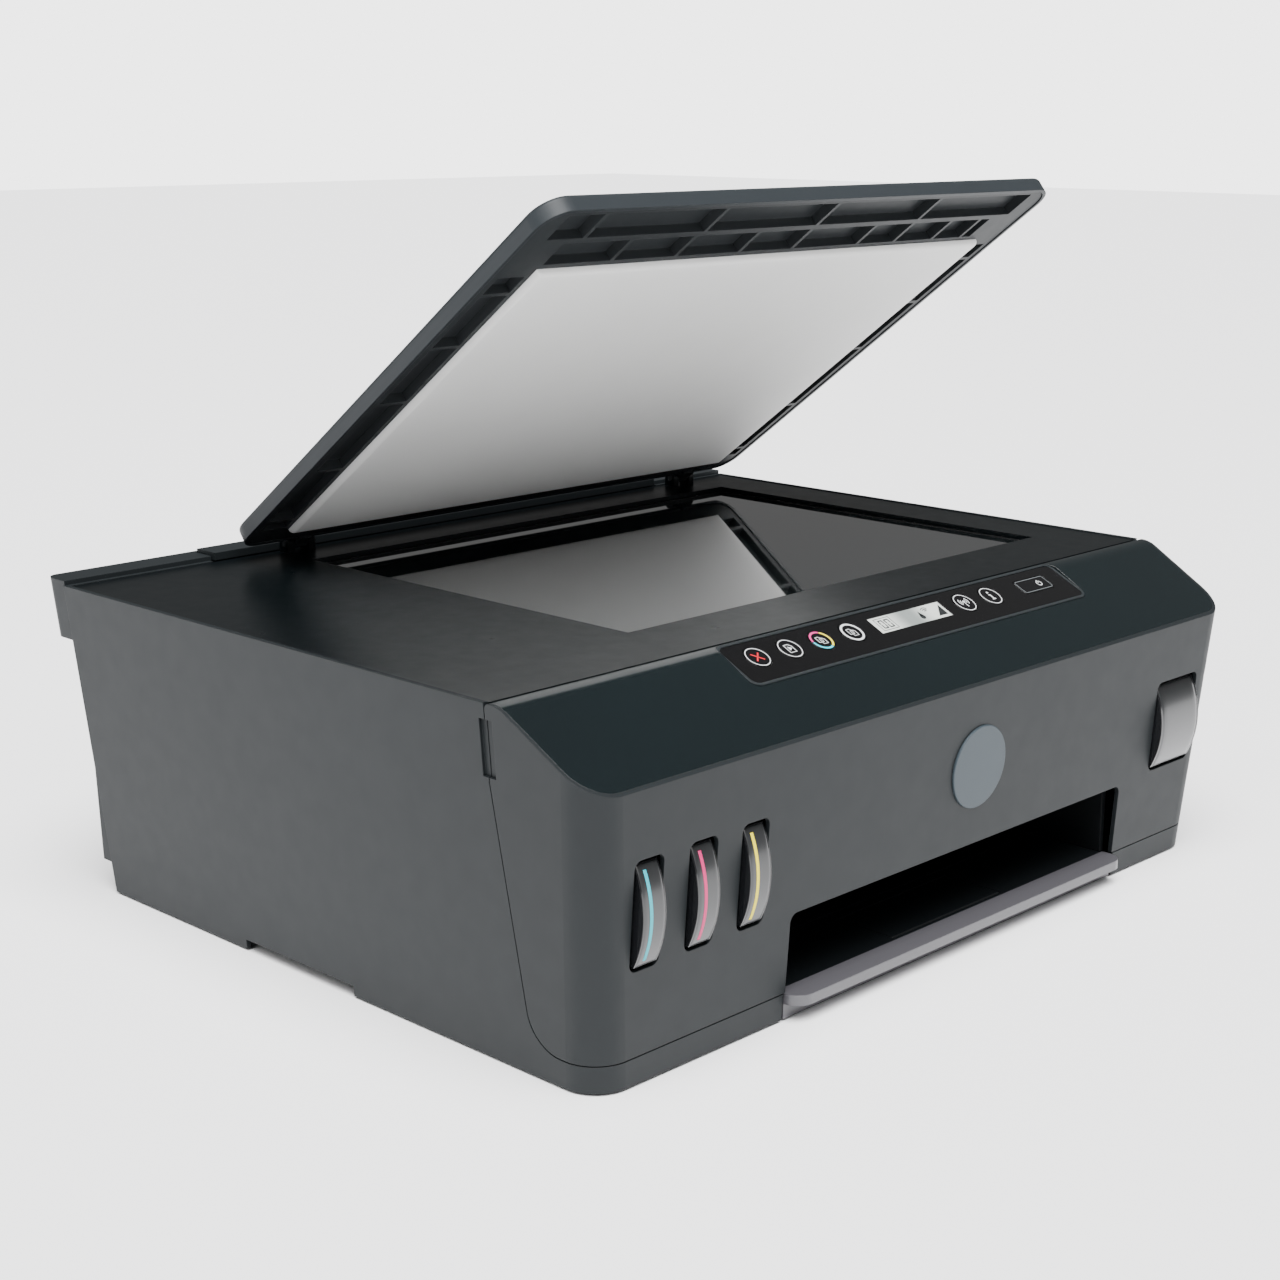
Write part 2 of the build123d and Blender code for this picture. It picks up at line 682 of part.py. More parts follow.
def lid_outline(height, inset):
    """The lid's rounded outline, pulled in by inset, on the plane at height over the hinge axis."""
    left = lid_left + inset
    right = lid_right - inset
    front = lid_front - inset
    rear = lid_rear + inset
    with BuildSketch(lid_plane.offset(height)) as outline:
        with BuildLine():
            Polyline((left, -rear), (right, -rear), (right, -front), (left, -front), close=True)
        make_face()
        middle = (left + right) / 2
        beyond_free_edge = lid_plane.from_local_coords((middle, -front - 900, height))
        free = vertices().sort_by_distance(beyond_free_edge)
        fillet(free[:2], lid_front_corner - inset)
        behind_hinge = lid_plane.from_local_coords((middle, 900, height))
        hinge = vertices().sort_by_distance(behind_hinge)
        fillet(hinge[:2], lid_rear_corner - inset)
    return outline.sketch


def lid_block(x, forward, z, mode=Mode.ADD):
    """A box in the lid's frame; forward is measured from the hinge towards the free edge."""
    with Locations(((x[0] + x[1]) / 2, -(forward[0] + forward[1]) / 2, (z[0] + z[1]) / 2)):
        Box(x[1] - x[0], forward[1] - forward[0], z[1] - z[0], mode=mode)


with BuildPart(lid_plane) as lid_shell:
    extrude(lid_outline(lid_rim, 0), amount=lid_top - lid_rim)
    top_edges = lid_shell.faces().sort_by(Axis((0, 0, 0), lid_plane.z_dir))[-1].edges()
    fillet(top_edges, 2.2)
    extrude(lid_outline(lid_rim, lid_wall), amount=lid_top - lid_rim - lid_wall, mode=Mode.SUBTRACT)
    # the hinge edge is cut away round the arms
    for ear_x in ear_xs:
        lid_block((ear_x - arm_width / 2 - piece_gap, ear_x + arm_width / 2 + piece_gap),
                  (lid_rear - 1, lid_rear + lid_wall + 0.5), (lid_rim - 4, 2.2 + piece_gap), Mode.SUBTRACT)
write(lid_shell, "lid_shell")

frame_top = lid_top - lid_wall - 0.2
plateau = pad_low + pad_thickness
trough_top = plateau + margin_depth
rib_width = 2.2
outer_ribs = (-102.0, -28.0, 48.0, 125.0)
inner_ribs = (-71.0, -31.0, 11.0, 48.0, 96.0, 125.0, 156.0, 180.0)
side_ribs = (28.0, 76.0, 135.0, 181.0, 222.0)
outer_row = (262.0, 279.0)
inner_row = (pad_front + 3.0, 258.5)
left_row = (lid_left + lid_wall + 4.0, pad_left - 3.0)
right_row = (pad_right + 3.0, lid_right - lid_wall - 4.0)
side_row_end = 236.0

with BuildPart(lid_plane) as lid_frame:
    extrude(lid_outline(plateau, lid_wall + piece_gap), amount=frame_top - plateau)
    # two rows of troughs along the free edge and one down each side, split by ribs
    rows = [(pad_left - 12.0, pad_right + 4.0, outer_row, outer_ribs),
            (pad_left, pad_right - 8.0, inner_row, inner_ribs)]
    for row_left, row_right, (near, far), ribs in rows:
        edges = [row_left] + list(ribs) + [row_right]
        for start, end in zip(edges[:-1], edges[1:]):
            lid_block((start + rib_width / 2, end - rib_width / 2), (near, far),
                      (plateau - 1, trough_top), Mode.SUBTRACT)
    for row in (left_row, right_row):
        edges = [pad_rear + 2.0] + list(side_ribs) + [side_row_end]
        for start, end in zip(edges[:-1], edges[1:]):
            lid_block(row, (start + rib_width / 2, end - rib_width / 2), (plateau - 1, trough_top),
                      Mode.SUBTRACT)
    # arms and axles of the hinge
    for ear_x in ear_xs:
        lid_block((ear_x - arm_width / 2, ear_x + arm_width / 2), (0, lid_rear + lid_wall + 1), (-2.6, 2.2))
        with Locations((ear_x, 0, 0)):
            Cylinder(3.2, arm_width, rotation=(0, 90, 0))
            Cylinder(axle_radius, arm_width + 2 * ear_width, rotation=(0, 90, 0))
write(lid_frame, "lid_frame")

with BuildPart(lid_plane) as lid_pad:
    lid_block((pad_left, pad_right), (pad_rear, pad_front), (pad_low, pad_low + pad_thickness))
write(lid_pad, "lid_pad")


# ---- output tray and its extender ----------------------------------------------------------
shelf_top = 12.0
shelf_thickness = 2.0
shelf_rear_y = -36.0
split_y = -126.0                    # where the fixed shelf ends and the extender's own shelf begins
slide_thickness = 3.0
slide_top = shelf_top - shelf_thickness - 0.4
lip_front_y = front_y
lip_rear_y = front_at(0) + lip_seat
lip_height = 12.4
lip_low = 1.0
lip_brow_low = 7.8                  # lower edge of the lip's forward part
lip_foot_y = front_at(0)            # front of the flush part below it
lip_corner = 8.0
side_wall_top = 46.0

with BuildPart() as output_tray:
    block((opening_left + 0.5, opening_right - 0.5), (split_y, shelf_rear_y),
          (shelf_top - shelf_thickness, shelf_top))
    for x in ((opening_left - 2.5, opening_left + 0.5), (opening_right - 0.5, opening_right + 2.5)):
        block(x, (front_y + 14, shelf_rear_y), (foot_height + pan_thickness, side_wall_top))
    block((opening_left - 2.5, opening_right + 2.5), (shelf_rear_y - 2, shelf_rear_y),
          (foot_height + pan_thickness, shelf_top))
write(output_tray, "output_tray")

stop_left = slot_middle_x - 40.0
stop_right = slot_middle_x + 40.0
stop_axis_y = -163.0
stop_length = 30.0
stop_thickness = 2.0
stop_axis_z = shelf_top - stop_thickness / 2
stop_gap = 0.4
with BuildPart() as tray_extender:
    block((opening_left + 1.2, opening_right - 1.2), (lip_rear_y, split_y - 20 + 90),
          (slide_top - slide_thickness, slide_top))
    block((opening_left + 1.2, opening_right - 1.2), (lip_rear_y, split_y - 0.6),
          (slide_top - 0.1, shelf_top))
    block((opening_left + 0.2, opening_right - 0.2), (lip_front_y, lip_rear_y), (lip_brow_low, lip_height))
    fillet(tray_extender.edges().filter_by(Axis.Z).sort_by(Axis.Y)[:2], lip_corner)
    block((opening_left + 0.2, opening_right - 0.2), (lip_foot_y, lip_rear_y), (lip_low, lip_height))
    block((stop_left - stop_gap, stop_right + stop_gap),
          (stop_axis_y - 1.6, stop_axis_y + stop_length + stop_gap),
          (slide_top, shelf_top + 1), Mode.SUBTRACT)
    for x in ((stop_left - 4, stop_left + 4), (stop_right - 4, stop_right + 4)):
        rod(0.55, x, stop_axis_y, stop_axis_z, Mode.SUBTRACT)
write(tray_extender, "tray_extender")

with BuildPart() as extender_stop:
    block((stop_left, stop_right), (stop_axis_y, stop_axis_y + stop_length),
          (shelf_top - stop_thickness, shelf_top))
    rod(stop_thickness / 2, (stop_left, stop_right), stop_axis_y, stop_axis_z)
    rod(0.5, (stop_left - 3.5, stop_right + 3.5), stop_axis_y, stop_axis_z)
write(extender_stop, "extender_stop")


# ---- ink tanks and their caps --------------------------------------------------------------
tank_low = 14.0
tank_top = 104.0
tank_rear_y = -100.0
colour_tank_width = 28.0
black_tank_width = 48.0
tank_wall = 1.6
tank_set_back = 2.0                 # tank body behind the door's inner face
neck_radius = 6.5
neck_height = 4.0
cap_hinge_y = -131.0
cap_length = 22.0
cap_thickness = 3.5
cap_gap = 0.3
cap_width = 15.0
colour_lens_gap = 1.8               # beside a lens in its window
black_lens_gap = 1.0
tanks = [(name, first_colour_x + colour_pitch * number, colour_tank_width, colour_window_width)
         for number, name in enumerate(colour_names)]
tanks.append(("black", black_window_x, black_tank_width, black_window_width))
lens_half_height = (window_high - window_low) / 2 - window_gap

for tank_name, tank_x, tank_width, window_width in tanks:
    tank_left = tank_x - tank_width / 2
    tank_right = tank_x + tank_width / 2
    if tank_name == "black":
        tank_right = tank_x + tank_width / 2 - 1.5
    tank_front_y = front_at(tank_low) + door_wall + tank_set_back
    lens_gap = black_lens_gap if tank_name == "black" else colour_lens_gap
    lens_width = window_width - 2 * lens_gap
    face_y = front_at(lens_middle)
    with BuildPart() as tank:
        block((tank_left, tank_right), (tank_front_y, tank_rear_y), (tank_low, tank_top))
        fillet(tank.edges().filter_by(Axis.Z), 3)
        # lens that bulges through the door's window
        with BuildSketch(Plane.YZ.offset(tank_x - lens_width / 2)):
            with BuildLine():
                chord_y = face_y + 1.0
                ThreePointArc((chord_y, lens_middle - lens_half_height),
                              (lens_front_y, lens_middle),
                              (chord_y, lens_middle + lens_half_height))
                Polyline((chord_y, lens_middle + lens_half_height),
                         (tank_front_y + 1, lens_middle + lens_half_height),
                         (tank_front_y + 1, lens_middle - lens_half_height),
                         (chord_y, lens_middle - lens_half_height))
            make_face()
        extrude(amount=lens_width)
        block((tank_left + tank_wall, tank_right - tank_wall),
              (tank_front_y + tank_wall, tank_rear_y - tank_wall),
              (tank_low + tank_wall, tank_top - tank_wall), Mode.SUBTRACT)
        # filler neck
        post(neck_radius, tank_x, cap_hinge_y - 12, (tank_top - 1, tank_top + neck_height))
        post(neck_radius - 1.8, tank_x, cap_hinge_y - 12, (tank_top - 3, tank_top + neck_height + 1),
             Mode.SUBTRACT)
        # lugs that carry the cap
        for side in (-1, 1):
            inner = tank_x + side * (cap_width / 2 + cap_gap)
            outer = inner + side * 2.5
            limits = (min(inner, outer), max(inner, outer))
            block(limits, (cap_hinge_y - 2.5, cap_hinge_y + 2.5),
                  (tank_top - 1, tank_top + neck_height + 2.2))
            rod(2.5, limits, cap_hinge_y, tank_top + neck_height + 2.2)
            rod(1.0 + running_gap, (limits[0] - 1, limits[1] + 1), cap_hinge_y,
                tank_top + neck_height + 2.2, Mode.SUBTRACT)
    write(tank, f"tank_{tank_name}")
    with BuildPart() as cap:
        cap_low = tank_top + neck_height + cap_gap
        block((tank_x - cap_width / 2, tank_x + cap_width / 2), (cap_hinge_y - cap_length, cap_hinge_y),
              (cap_low, cap_low + cap_thickness))
        fillet(cap.edges().filter_by(Axis.Z).sort_by(Axis.Y)[:2], 6)
        rod(1.9, (tank_x - cap_width / 2, tank_x + cap_width / 2), cap_hinge_y,
            tank_top + neck_height + 2.2)
        rod(1.0, (tank_x - cap_width / 2 - 2.6, tank_x + cap_width / 2 + 2.6), cap_hinge_y,
            tank_top + neck_height + 2.2)
        # plug that seals the neck
        post(neck_radius - 2.6, tank_x, cap_hinge_y - 12, (cap_low - 1.8, cap_low + 1))
    write(cap, f"cap_{tank_name}")


# ---- carriage, its rail, belt and motor ----------------------------------------------------
rail_left = -196.0
rail_right = 204.0
rail_y = 22.0
rail_thickness = 2.0
rail_low = 62.0
rail_high = 116.0
carriage_right = 203.0
carriage_width = 76.0
carriage_front_y = -34.0
carriage_low = 56.0
carriage_high = 108.0
slide_gap = 0.4
pulley_x = -182.0
idler_x = 190.0
belt_y = 36.0
belt_low = 99.0
belt_high = 104.0
pulley_radius = 6.0
belt_inner = pulley_radius + 0.35
belt_thickness = 1.2

with BuildPart() as carriage_rail:
    block((rail_left, rail_right), (rail_y, rail_y + rail_thickness), (rail_low, rail_high))
    # lower flange, end brackets and the idler's post
    block((rail_left, rail_right), (rail_y, rail_y + 8), (rail_low, rail_low + rail_thickness))
    for x in ((rail_left, rail_left + 3), (rail_right - 3, rail_right)):
        block(x, (rail_y, rail_y + 28), (foot_height + pan_thickness, rail_low + rail_thickness))
    block((idler_x - 6, idler_x + 6), (rail_y, belt_y + 6), (belt_low - 7, belt_low - 5))
    post(pulley_radius - 1, idler_x, belt_y, (belt_low - 6, belt_high + 1))
write(carriage_rail, "carriage_rail")

with BuildPart() as carriage:
    carriage_left = carriage_right - carriage_width
    block((carriage_left, carriage_right), (carriage_front_y, rail_y - slide_gap),
          (carriage_low, carriage_high))
    # two wells for the printheads
    for well in (0, 1):
        well_left = carriage_left + 3 + well * (carriage_width / 2 - 1)
        block((well_left, well_left + carriage_width / 2 - 5), (carriage_front_y + 3, rail_y - 6),
              (carriage_low + 3, carriage_high + 1), Mode.SUBTRACT)
        block((well_left + 6, well_left + carriage_width / 2 - 11), (carriage_front_y + 12, rail_y - 16),
              (carriage_low - 1, carriage_low + 4), Mode.SUBTRACT)
    # hook over the rail that clips to the belt
    block((carriage_left + 20, carriage_right - 20),
          (rail_y - 5, belt_y - belt_inner - belt_thickness - 0.5),
          (rail_high + slide_gap, rail_high + 3))
    block((carriage_left + 20, carriage_right - 20), (rail_y - 5, rail_y - slide_gap),
          (carriage_high - 1, rail_high + 3))
    block((carriage_left + 20, carriage_right - 20),
          (rail_y + rail_thickness + slide_gap, belt_y - belt_inner - belt_thickness - 0.5),
          (belt_low, rail_high + 3))
write(carriage, "carriage")

with BuildPart() as printheads:
    for well in (0, 1):
        head_left = carriage_left + 3 + well * (carriage_width / 2 - 1) + piece_gap
        head_right = head_left + carriage_width / 2 - 5 - 2 * piece_gap
        block((head_left, head_right), (carriage_front_y + 3 + piece_gap, rail_y - 6 - piece_gap),
              (carriage_low + 3 + piece_gap, carriage_high + 4))
        block((head_left + 6.5, head_right - 6.5), (carriage_front_y + 13, rail_y - 17),
              (carriage_low - 4, carriage_low + 4))
write(printheads, "printheads")

with BuildPart() as carriage_belt:
    with BuildSketch(Plane.XY.offset(belt_low)):
        with Locations(((pulley_x + idler_x) / 2, belt_y)):
            SlotCenterToCenter(idler_x - pulley_x, 2 * (belt_inner + belt_thickness))
            SlotCenterToCenter(idler_x - pulley_x, 2 * belt_inner, mode=Mode.SUBTRACT)
    extrude(amount=belt_high - belt_low)
write(carriage_belt, "carriage_belt")

motor_radius = 13.0
motor_shaft = 1.5
with BuildPart() as carriage_motor:
    post(motor_radius, pulley_x, belt_y + 4, (66, belt_low - 4))
    post(motor_shaft, pulley_x, belt_y, (80, belt_high + 3))
    # screwed foot that reaches the rail
    block((pulley_x - 8, pulley_x + 8), (rail_y + rail_thickness, belt_y), (70, 74))
write(carriage_motor, "carriage_motor")

with BuildPart() as drive_pulley:
    post(pulley_radius, pulley_x, belt_y, (belt_low - 1, belt_high + 1))
    post(motor_shaft + running_gap, pulley_x, belt_y, (belt_low - 2, belt_high + 2), Mode.SUBTRACT)
write(drive_pulley, "drive_pulley")


# ---- paper feed: rollers, gears, motor, platen ---------------------------------------------
feed_y = 44.0
feed_z = 42.0
feed_radius = 5.5
eject_y = -28.0
eject_z = 38.0
eject_radius = 4.5
pickup_y = 108.0
pickup_z = 62.0
pickup_radius = 16.0
roller_shaft = 3.0
paper_left = slot_middle_x - 108.0
paper_right = slot_middle_x + 108.0
gear_x = (-134.0, -129.0)
feed_gear_radius = 20.0
eject_gear_radius = 12.0
gear_line = sqrt((feed_y - eject_y) ** 2 + (feed_z - eject_z) ** 2)
idler_gear_radius = (gear_line - feed_gear_radius - eject_gear_radius - 0.8) / 2
idler_share = (feed_gear_radius + idler_gear_radius + 0.4) / gear_line
idler_gear_y = feed_y + (eject_y - feed_y) * idler_share
idler_gear_z = feed_z + (eject_z - feed_z) * idler_share
frame_x = (-146.0, -143.0)          # side frame that the shafts run in
frame_right_x = (129.0, 131.5)


teeth_per_radius = 3.0              # teeth for each millimetre of a gear's radius


def toothed_disc(radius, x, y, z):
    """A gear between the limits x about the line at y and z, with square-cut teeth."""
    teeth = round(radius * teeth_per_radius)
    with BuildSketch(Plane.YZ.offset(x[0])) as gear_face:
        with Locations((y, z)):
            Circle(radius)
            with PolarLocations(radius, teeth, start_angle=180.0 / teeth):
                Rectangle(2.2, pi * radius / teeth, mode=Mode.SUBTRACT)
    extrude(gear_face.sketch, amount=x[1] - x[0])


with BuildPart() as feed_roller:
    rod(roller_shaft, (frame_x[0] - 1, frame_right_x[1] + 1), feed_y, feed_z)
    rod(feed_radius, (paper_left, paper_right), feed_y, feed_z)
write(feed_roller, "feed_roller")

with BuildPart() as feed_gear:
    toothed_disc(feed_gear_radius, gear_x, feed_y, feed_z)
    rod(roller_shaft, (gear_x[0] - 2, gear_x[1] + 2), feed_y, feed_z, Mode.SUBTRACT)
write(feed_gear, "feed_gear")

axle_post_radius = 2.0
with BuildPart() as idler_gear:
    toothed_disc(idler_gear_radius, gear_x, idler_gear_y, idler_gear_z)
    rod(axle_post_radius + running_gap, (gear_x[0] - 2, gear_x[1] + 2), idler_gear_y, idler_gear_z,
        Mode.SUBTRACT)
write(idler_gear, "idler_gear")

with BuildPart() as eject_roller:
    rod(roller_shaft - 1, (frame_x[0] - 1, frame_right_x[1] + 1), eject_y, eject_z)
    toothed_disc(eject_gear_radius, gear_x, eject_y, eject_z)
    for number in range(6):
        middle = paper_left + (paper_right - paper_left) * (number + 0.5) / 6
        rod(eject_radius, (middle - 8, middle + 8), eject_y, eject_z)
write(eject_roller, "eject_roller")

with BuildPart() as platen:
    block((paper_left - 3, paper_right + 3), (eject_y + eject_radius + 2, feed_y - feed_radius - 2),
          (38, 44))
    for number in range(12):
        rib_x = paper_left + 6 + number * (paper_right - paper_left - 12) / 11
        block((rib_x - 1, rib_x + 1), (eject_y + eject_radius + 2, feed_y - feed_radius - 2), (43, 47))
    # side frames that stand on the floor pan and carry the shafts and the idler's axle
    for x in (frame_x, frame_right_x):
        block(x, (eject_y - 8, feed_y + 10), (foot_height + pan_thickness, 52))
        rod(roller_shaft + running_gap, (x[0] - 1, x[1] + 1), feed_y, feed_z, Mode.SUBTRACT)
        rod(roller_shaft - 1 + running_gap, (x[0] - 1, x[1] + 1), eject_y, eject_z, Mode.SUBTRACT)
    block((frame_x[0], paper_left), (2, 12), (5, 11))
    block((frame_x[0], frame_right_x[1]), (2, 12), (5, 11))
    block((paper_left, paper_left + 4), (2, 12), (5, 40))
    block((paper_right - 4, paper_right), (2, 12), (5, 40))
    rod(axle_post_radius, (frame_x[1] - 1, gear_x[1] + 1), idler_gear_y, idler_gear_z)
write(platen, "platen")

pinion_radius = 10.0
feed_motor_y = feed_y + feed_gear_radius + pinion_radius + 0.4
with BuildPart() as feed_motor:
    rod(14, (-186, -166), feed_motor_y, feed_z)
    rod(2, (-167, gear_x[1]), feed_motor_y, feed_z)
    rod(pinion_radius, gear_x, feed_motor_y, feed_z)
    block((-186, -170), (feed_motor_y - 8, feed_motor_y + 8), (foot_height + pan_thickness, feed_z - 10))
write(feed_motor, "feed_motor")

with BuildPart() as pickup_roller:
    rod(roller_shaft, (-70, 105), pickup_y, pickup_z)
    rod(pickup_radius, (slot_middle_x - 20, slot_middle_x + 20), pickup_y, pickup_z)
write(pickup_roller, "pickup_roller")

with BuildPart() as service_station:
    block((133, 204), (-32, 18), (foot_height + pan_thickness, 42))
    block((135.5, 201.5), (-29, 15), (12, 43), Mode.SUBTRACT)
    # two rubber caps under the parked heads
    for well in (0, 1):
        rest_left = carriage_left + 3 + well * (carriage_width / 2 - 1) + 7
        block((rest_left, rest_left + 19), (carriage_front_y + 14, rail_y - 18), (11, 50))
write(service_station, "service_station")


# ---- ink tubes, electronics, sockets, screws -----------------------------------------------
tube_radius = 1.8
tube_pitch = 4.6
tube_low = 90.0
tube_high = 119.0
tube_ends_x = (95.0, 99.0, 103.0, 107.0)
with BuildPart() as ink_tubes:
    for number, (tank_name, start_x, tank_width, window_width) in enumerate(tanks):
        run_y = tank_rear_y + 14 + tube_pitch * number
        start_y = tank_rear_y + 0.3
        with BuildLine() as route:
            FilletPolyline((start_x, start_y, tube_low), (start_x, run_y, tube_low),
                           (start_x, run_y, tube_high), (tube_ends_x[number], run_y, tube_high), radius=6)
        with BuildSketch(Plane(origin=(start_x, start_y, tube_low), z_dir=(0, 1, 0))):
            Circle(tube_radius)
        sweep(path=route.wires()[0])
write(ink_tubes, "ink_tubes")

board_rear = rear_wall_y - 23.7
with BuildPart() as main_board:
    block((70, 200), (board_rear - 80, board_rear),
          (foot_height + pan_thickness + 4, foot_height + pan_thickness + 5.6))
    for x in (78, 192):
        for y in (board_rear - 74, board_rear - 6):
            post(3, x, y, (foot_height + pan_thickness, foot_height + pan_thickness + 4.5))
    block((100, 130), (board_rear - 50, board_rear - 20),
          (foot_height + pan_thickness + 5, foot_height + pan_thickness + 9))
    block((usb_x - 7, usb_x + 7), (board_rear - 2, board_rear),
          (foot_height + pan_thickness + 4, usb_z - usb_height / 2))
write(main_board, "main_board")

with BuildPart() as usb_port:
    usb_rear = rear_at(usb_z) - 0.5
    block((usb_x - usb_width / 2, usb_x + usb_width / 2), (usb_rear - 16, usb_rear),
          (usb_z - usb_height / 2, usb_z + usb_height / 2))
    block((usb_x - usb_width / 2 + 1.6, usb_x + usb_width / 2 - 1.6), (usb_rear - 12, usb_rear + 1),
          (usb_z - usb_height / 2 + 1.6, usb_z + usb_height / 2 - 1.6), Mode.SUBTRACT)
    block((usb_x - 2.8, usb_x + 2.8), (usb_rear - 13, usb_rear - 2), (usb_z - 1.6, usb_z + 1.6))
write(usb_port, "usb_port")

with BuildPart() as power_inlet:
    inlet_rear = rear_at(cover_low) + cover_depth - 1.5
    block((inlet_x - inlet_width / 2, inlet_x + inlet_width / 2), (inlet_rear - 22, inlet_rear),
          (inlet_z - inlet_height / 2, inlet_z + inlet_height / 2))
    with BuildSketch(Plane.XZ.offset(-inlet_rear)):
        with Locations((inlet_x, inlet_z)):
            SlotCenterToCenter(8.5, 8.6)
    extrude(amount=13, mode=Mode.SUBTRACT)
    for side in (-1, 1):
        with BuildSketch(Plane.XZ.offset(-inlet_rear + 13.5)):
            with Locations((inlet_x + side * 4.3, inlet_z)):
                Circle(1.2)
        extrude(amount=-11)
write(power_inlet, "power_inlet")

with BuildPart() as power_supply:
    block((-202, -112), (92, 136), (foot_height + pan_thickness, 48))
    fillet(power_supply.edges().filter_by(Axis.Z), 3)
write(power_supply, "power_supply")

screw_head = 3.2
cover_face_dir = (0, deck_height, -rear_draft)
with BuildPart() as screws:
    for x in (cover_left + 8, cover_right - 8):
        for z in (cover_low + 8, cover_high - 8):
            seat = Plane(origin=(x, rear_at(z) + cover_depth, z), x_dir=(1, 0, 0), z_dir=cover_face_dir)
            with BuildSketch(seat):
                Circle(screw_head)
            extrude(amount=1.2)
            # cross recess
            with BuildSketch(seat.offset(0.5)):
                Rectangle(4.0, 0.8)
                Rectangle(0.8, 4.0)
            extrude(amount=1.0, mode=Mode.SUBTRACT)
write(screws, "screws")
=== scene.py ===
"""Ink-tank printer, scanner lid raised: finishes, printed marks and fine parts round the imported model."""
import json
import math

import bpy
import numpy as np
from mathutils import Matrix, Vector


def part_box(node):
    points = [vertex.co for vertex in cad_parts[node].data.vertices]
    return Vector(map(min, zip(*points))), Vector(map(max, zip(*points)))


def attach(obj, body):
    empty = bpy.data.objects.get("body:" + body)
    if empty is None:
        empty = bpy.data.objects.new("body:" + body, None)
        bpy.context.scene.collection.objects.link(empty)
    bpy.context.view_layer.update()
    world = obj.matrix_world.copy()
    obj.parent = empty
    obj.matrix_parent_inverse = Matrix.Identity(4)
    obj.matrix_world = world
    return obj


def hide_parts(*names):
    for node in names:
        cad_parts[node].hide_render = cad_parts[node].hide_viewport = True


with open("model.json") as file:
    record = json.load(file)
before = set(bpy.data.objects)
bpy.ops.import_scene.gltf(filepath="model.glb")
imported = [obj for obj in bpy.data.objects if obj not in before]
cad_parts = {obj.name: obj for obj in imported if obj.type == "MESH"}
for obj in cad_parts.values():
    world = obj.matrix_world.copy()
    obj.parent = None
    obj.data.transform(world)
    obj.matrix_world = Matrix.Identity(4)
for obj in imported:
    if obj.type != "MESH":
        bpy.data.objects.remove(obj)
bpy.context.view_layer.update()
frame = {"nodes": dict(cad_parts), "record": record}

MM = 0.001
NODES = frame["nodes"]


# ---- colour and node helpers -------------------------------------------------------------

def linear(hex_code, alpha=1.0):
    """An sRGB hex code as linear red, green, blue and alpha."""
    parts = [int(hex_code[i:i + 2], 16) / 255 for i in (1, 3, 5)]
    return (*[((c + 0.055) / 1.055) ** 2.4 if c > 0.04045 else c / 12.92 for c in parts], alpha)


def add_node(tree, kind, settings=None, **sockets):
    """Adds a node, sets its properties, and fills each named input with a value or another node's output."""
    node = tree.nodes.new(kind)
    for name, value in (settings or {}).items():
        setattr(node, name, value)
    for name, value in sockets.items():
        socket = node.inputs[int(name[1:])] if name[0] == "_" else node.inputs[name.replace("_", " ")]
        if isinstance(value, bpy.types.NodeSocket):
            tree.links.new(value, socket)
        else:
            socket.default_value = value
    return node


def new_material(name, **sockets):
    """A Principled material with constants on its sockets; returns the material, its tree and the shader."""
    material = bpy.data.materials.new(name)
    material.use_nodes = True
    tree = material.node_tree
    shader = tree.nodes["Principled BSDF"]
    for socket, value in sockets.items():
        shader.inputs[socket.replace("_", " ")].default_value = value
    return material, tree, shader


def mixed(tree, low, high, factor):
    """Colour that runs from low to high with factor."""
    node = add_node(tree, "ShaderNodeMix", {"data_type": "RGBA"}, _0=factor)
    node.inputs[6].default_value = low
    node.inputs[7].default_value = high
    return node.outputs[2]


def ramp(tree, value, low, high):
    """Smooth step from 0 at low to 1 at high of value."""
    settings = {"interpolation_type": "SMOOTHSTEP"}
    return add_node(tree, "ShaderNodeMapRange", settings, _0=value, _1=low, _2=high).outputs[0]


def part_of(tree, axis):
    """One coordinate, in metres, of the point being shaded."""
    place = add_node(tree, "ShaderNodeTexCoord").outputs["Object"]
    return add_node(tree, "ShaderNodeSeparateXYZ", _0=place).outputs["XYZ".index(axis)]


def noise(tree, size, detail=3.0, stretch=(1, 1, 1)):
    """Noise whose blobs are about size metres across."""
    place = add_node(tree, "ShaderNodeTexCoord").outputs["Object"]
    scaled = add_node(tree, "ShaderNodeMapping", _0=place, Scale=[s / size for s in stretch]).outputs[0]
    return add_node(tree, "ShaderNodeTexNoise", Vector=scaled, Scale=1.0, Detail=detail).outputs["Fac"]


# ---- materials ---------------------------------------------------------------------------
GRAIN = 0.45 * MM       # spark-eroded mould grain; the real one is nearer 0.15 mm, too fine to show
EDGE = 0.5 * MM         # rounding of a moulded edge


def moulded(name, colour, rough, grain_depth=0.02 * MM, shade=0.10, edge=EDGE, **sockets):
    """Moulded thermoplastic: faint cloudy shade, eroded grain, edges that catch the light."""
    material, tree, shader = new_material(name, IOR=1.53, Specular_IOR_Level=0.22, **sockets)
    base = linear(colour)
    darker = (*[c * (1 - shade) for c in base[:3]], 1.0)
    cloudy = noise(tree, 60 * MM, 2.0)
    tree.links.new(mixed(tree, darker, base, cloudy), shader.inputs["Base Color"])
    fine = noise(tree, GRAIN, 2.0)
    worn = add_node(tree, "ShaderNodeMapRange", _0=noise(tree, 9 * MM), _3=rough - 0.05, _4=rough + 0.05)
    tree.links.new(worn.outputs[0], shader.inputs["Roughness"])
    rounded = add_node(tree, "ShaderNodeBevel", {"samples": 3}, Radius=edge).outputs[0]
    bump = add_node(tree, "ShaderNodeBump", Strength=0.5, Distance=grain_depth, Height=fine, Normal=rounded)
    tree.links.new(bump.outputs[0], shader.inputs["Normal"])
    return material


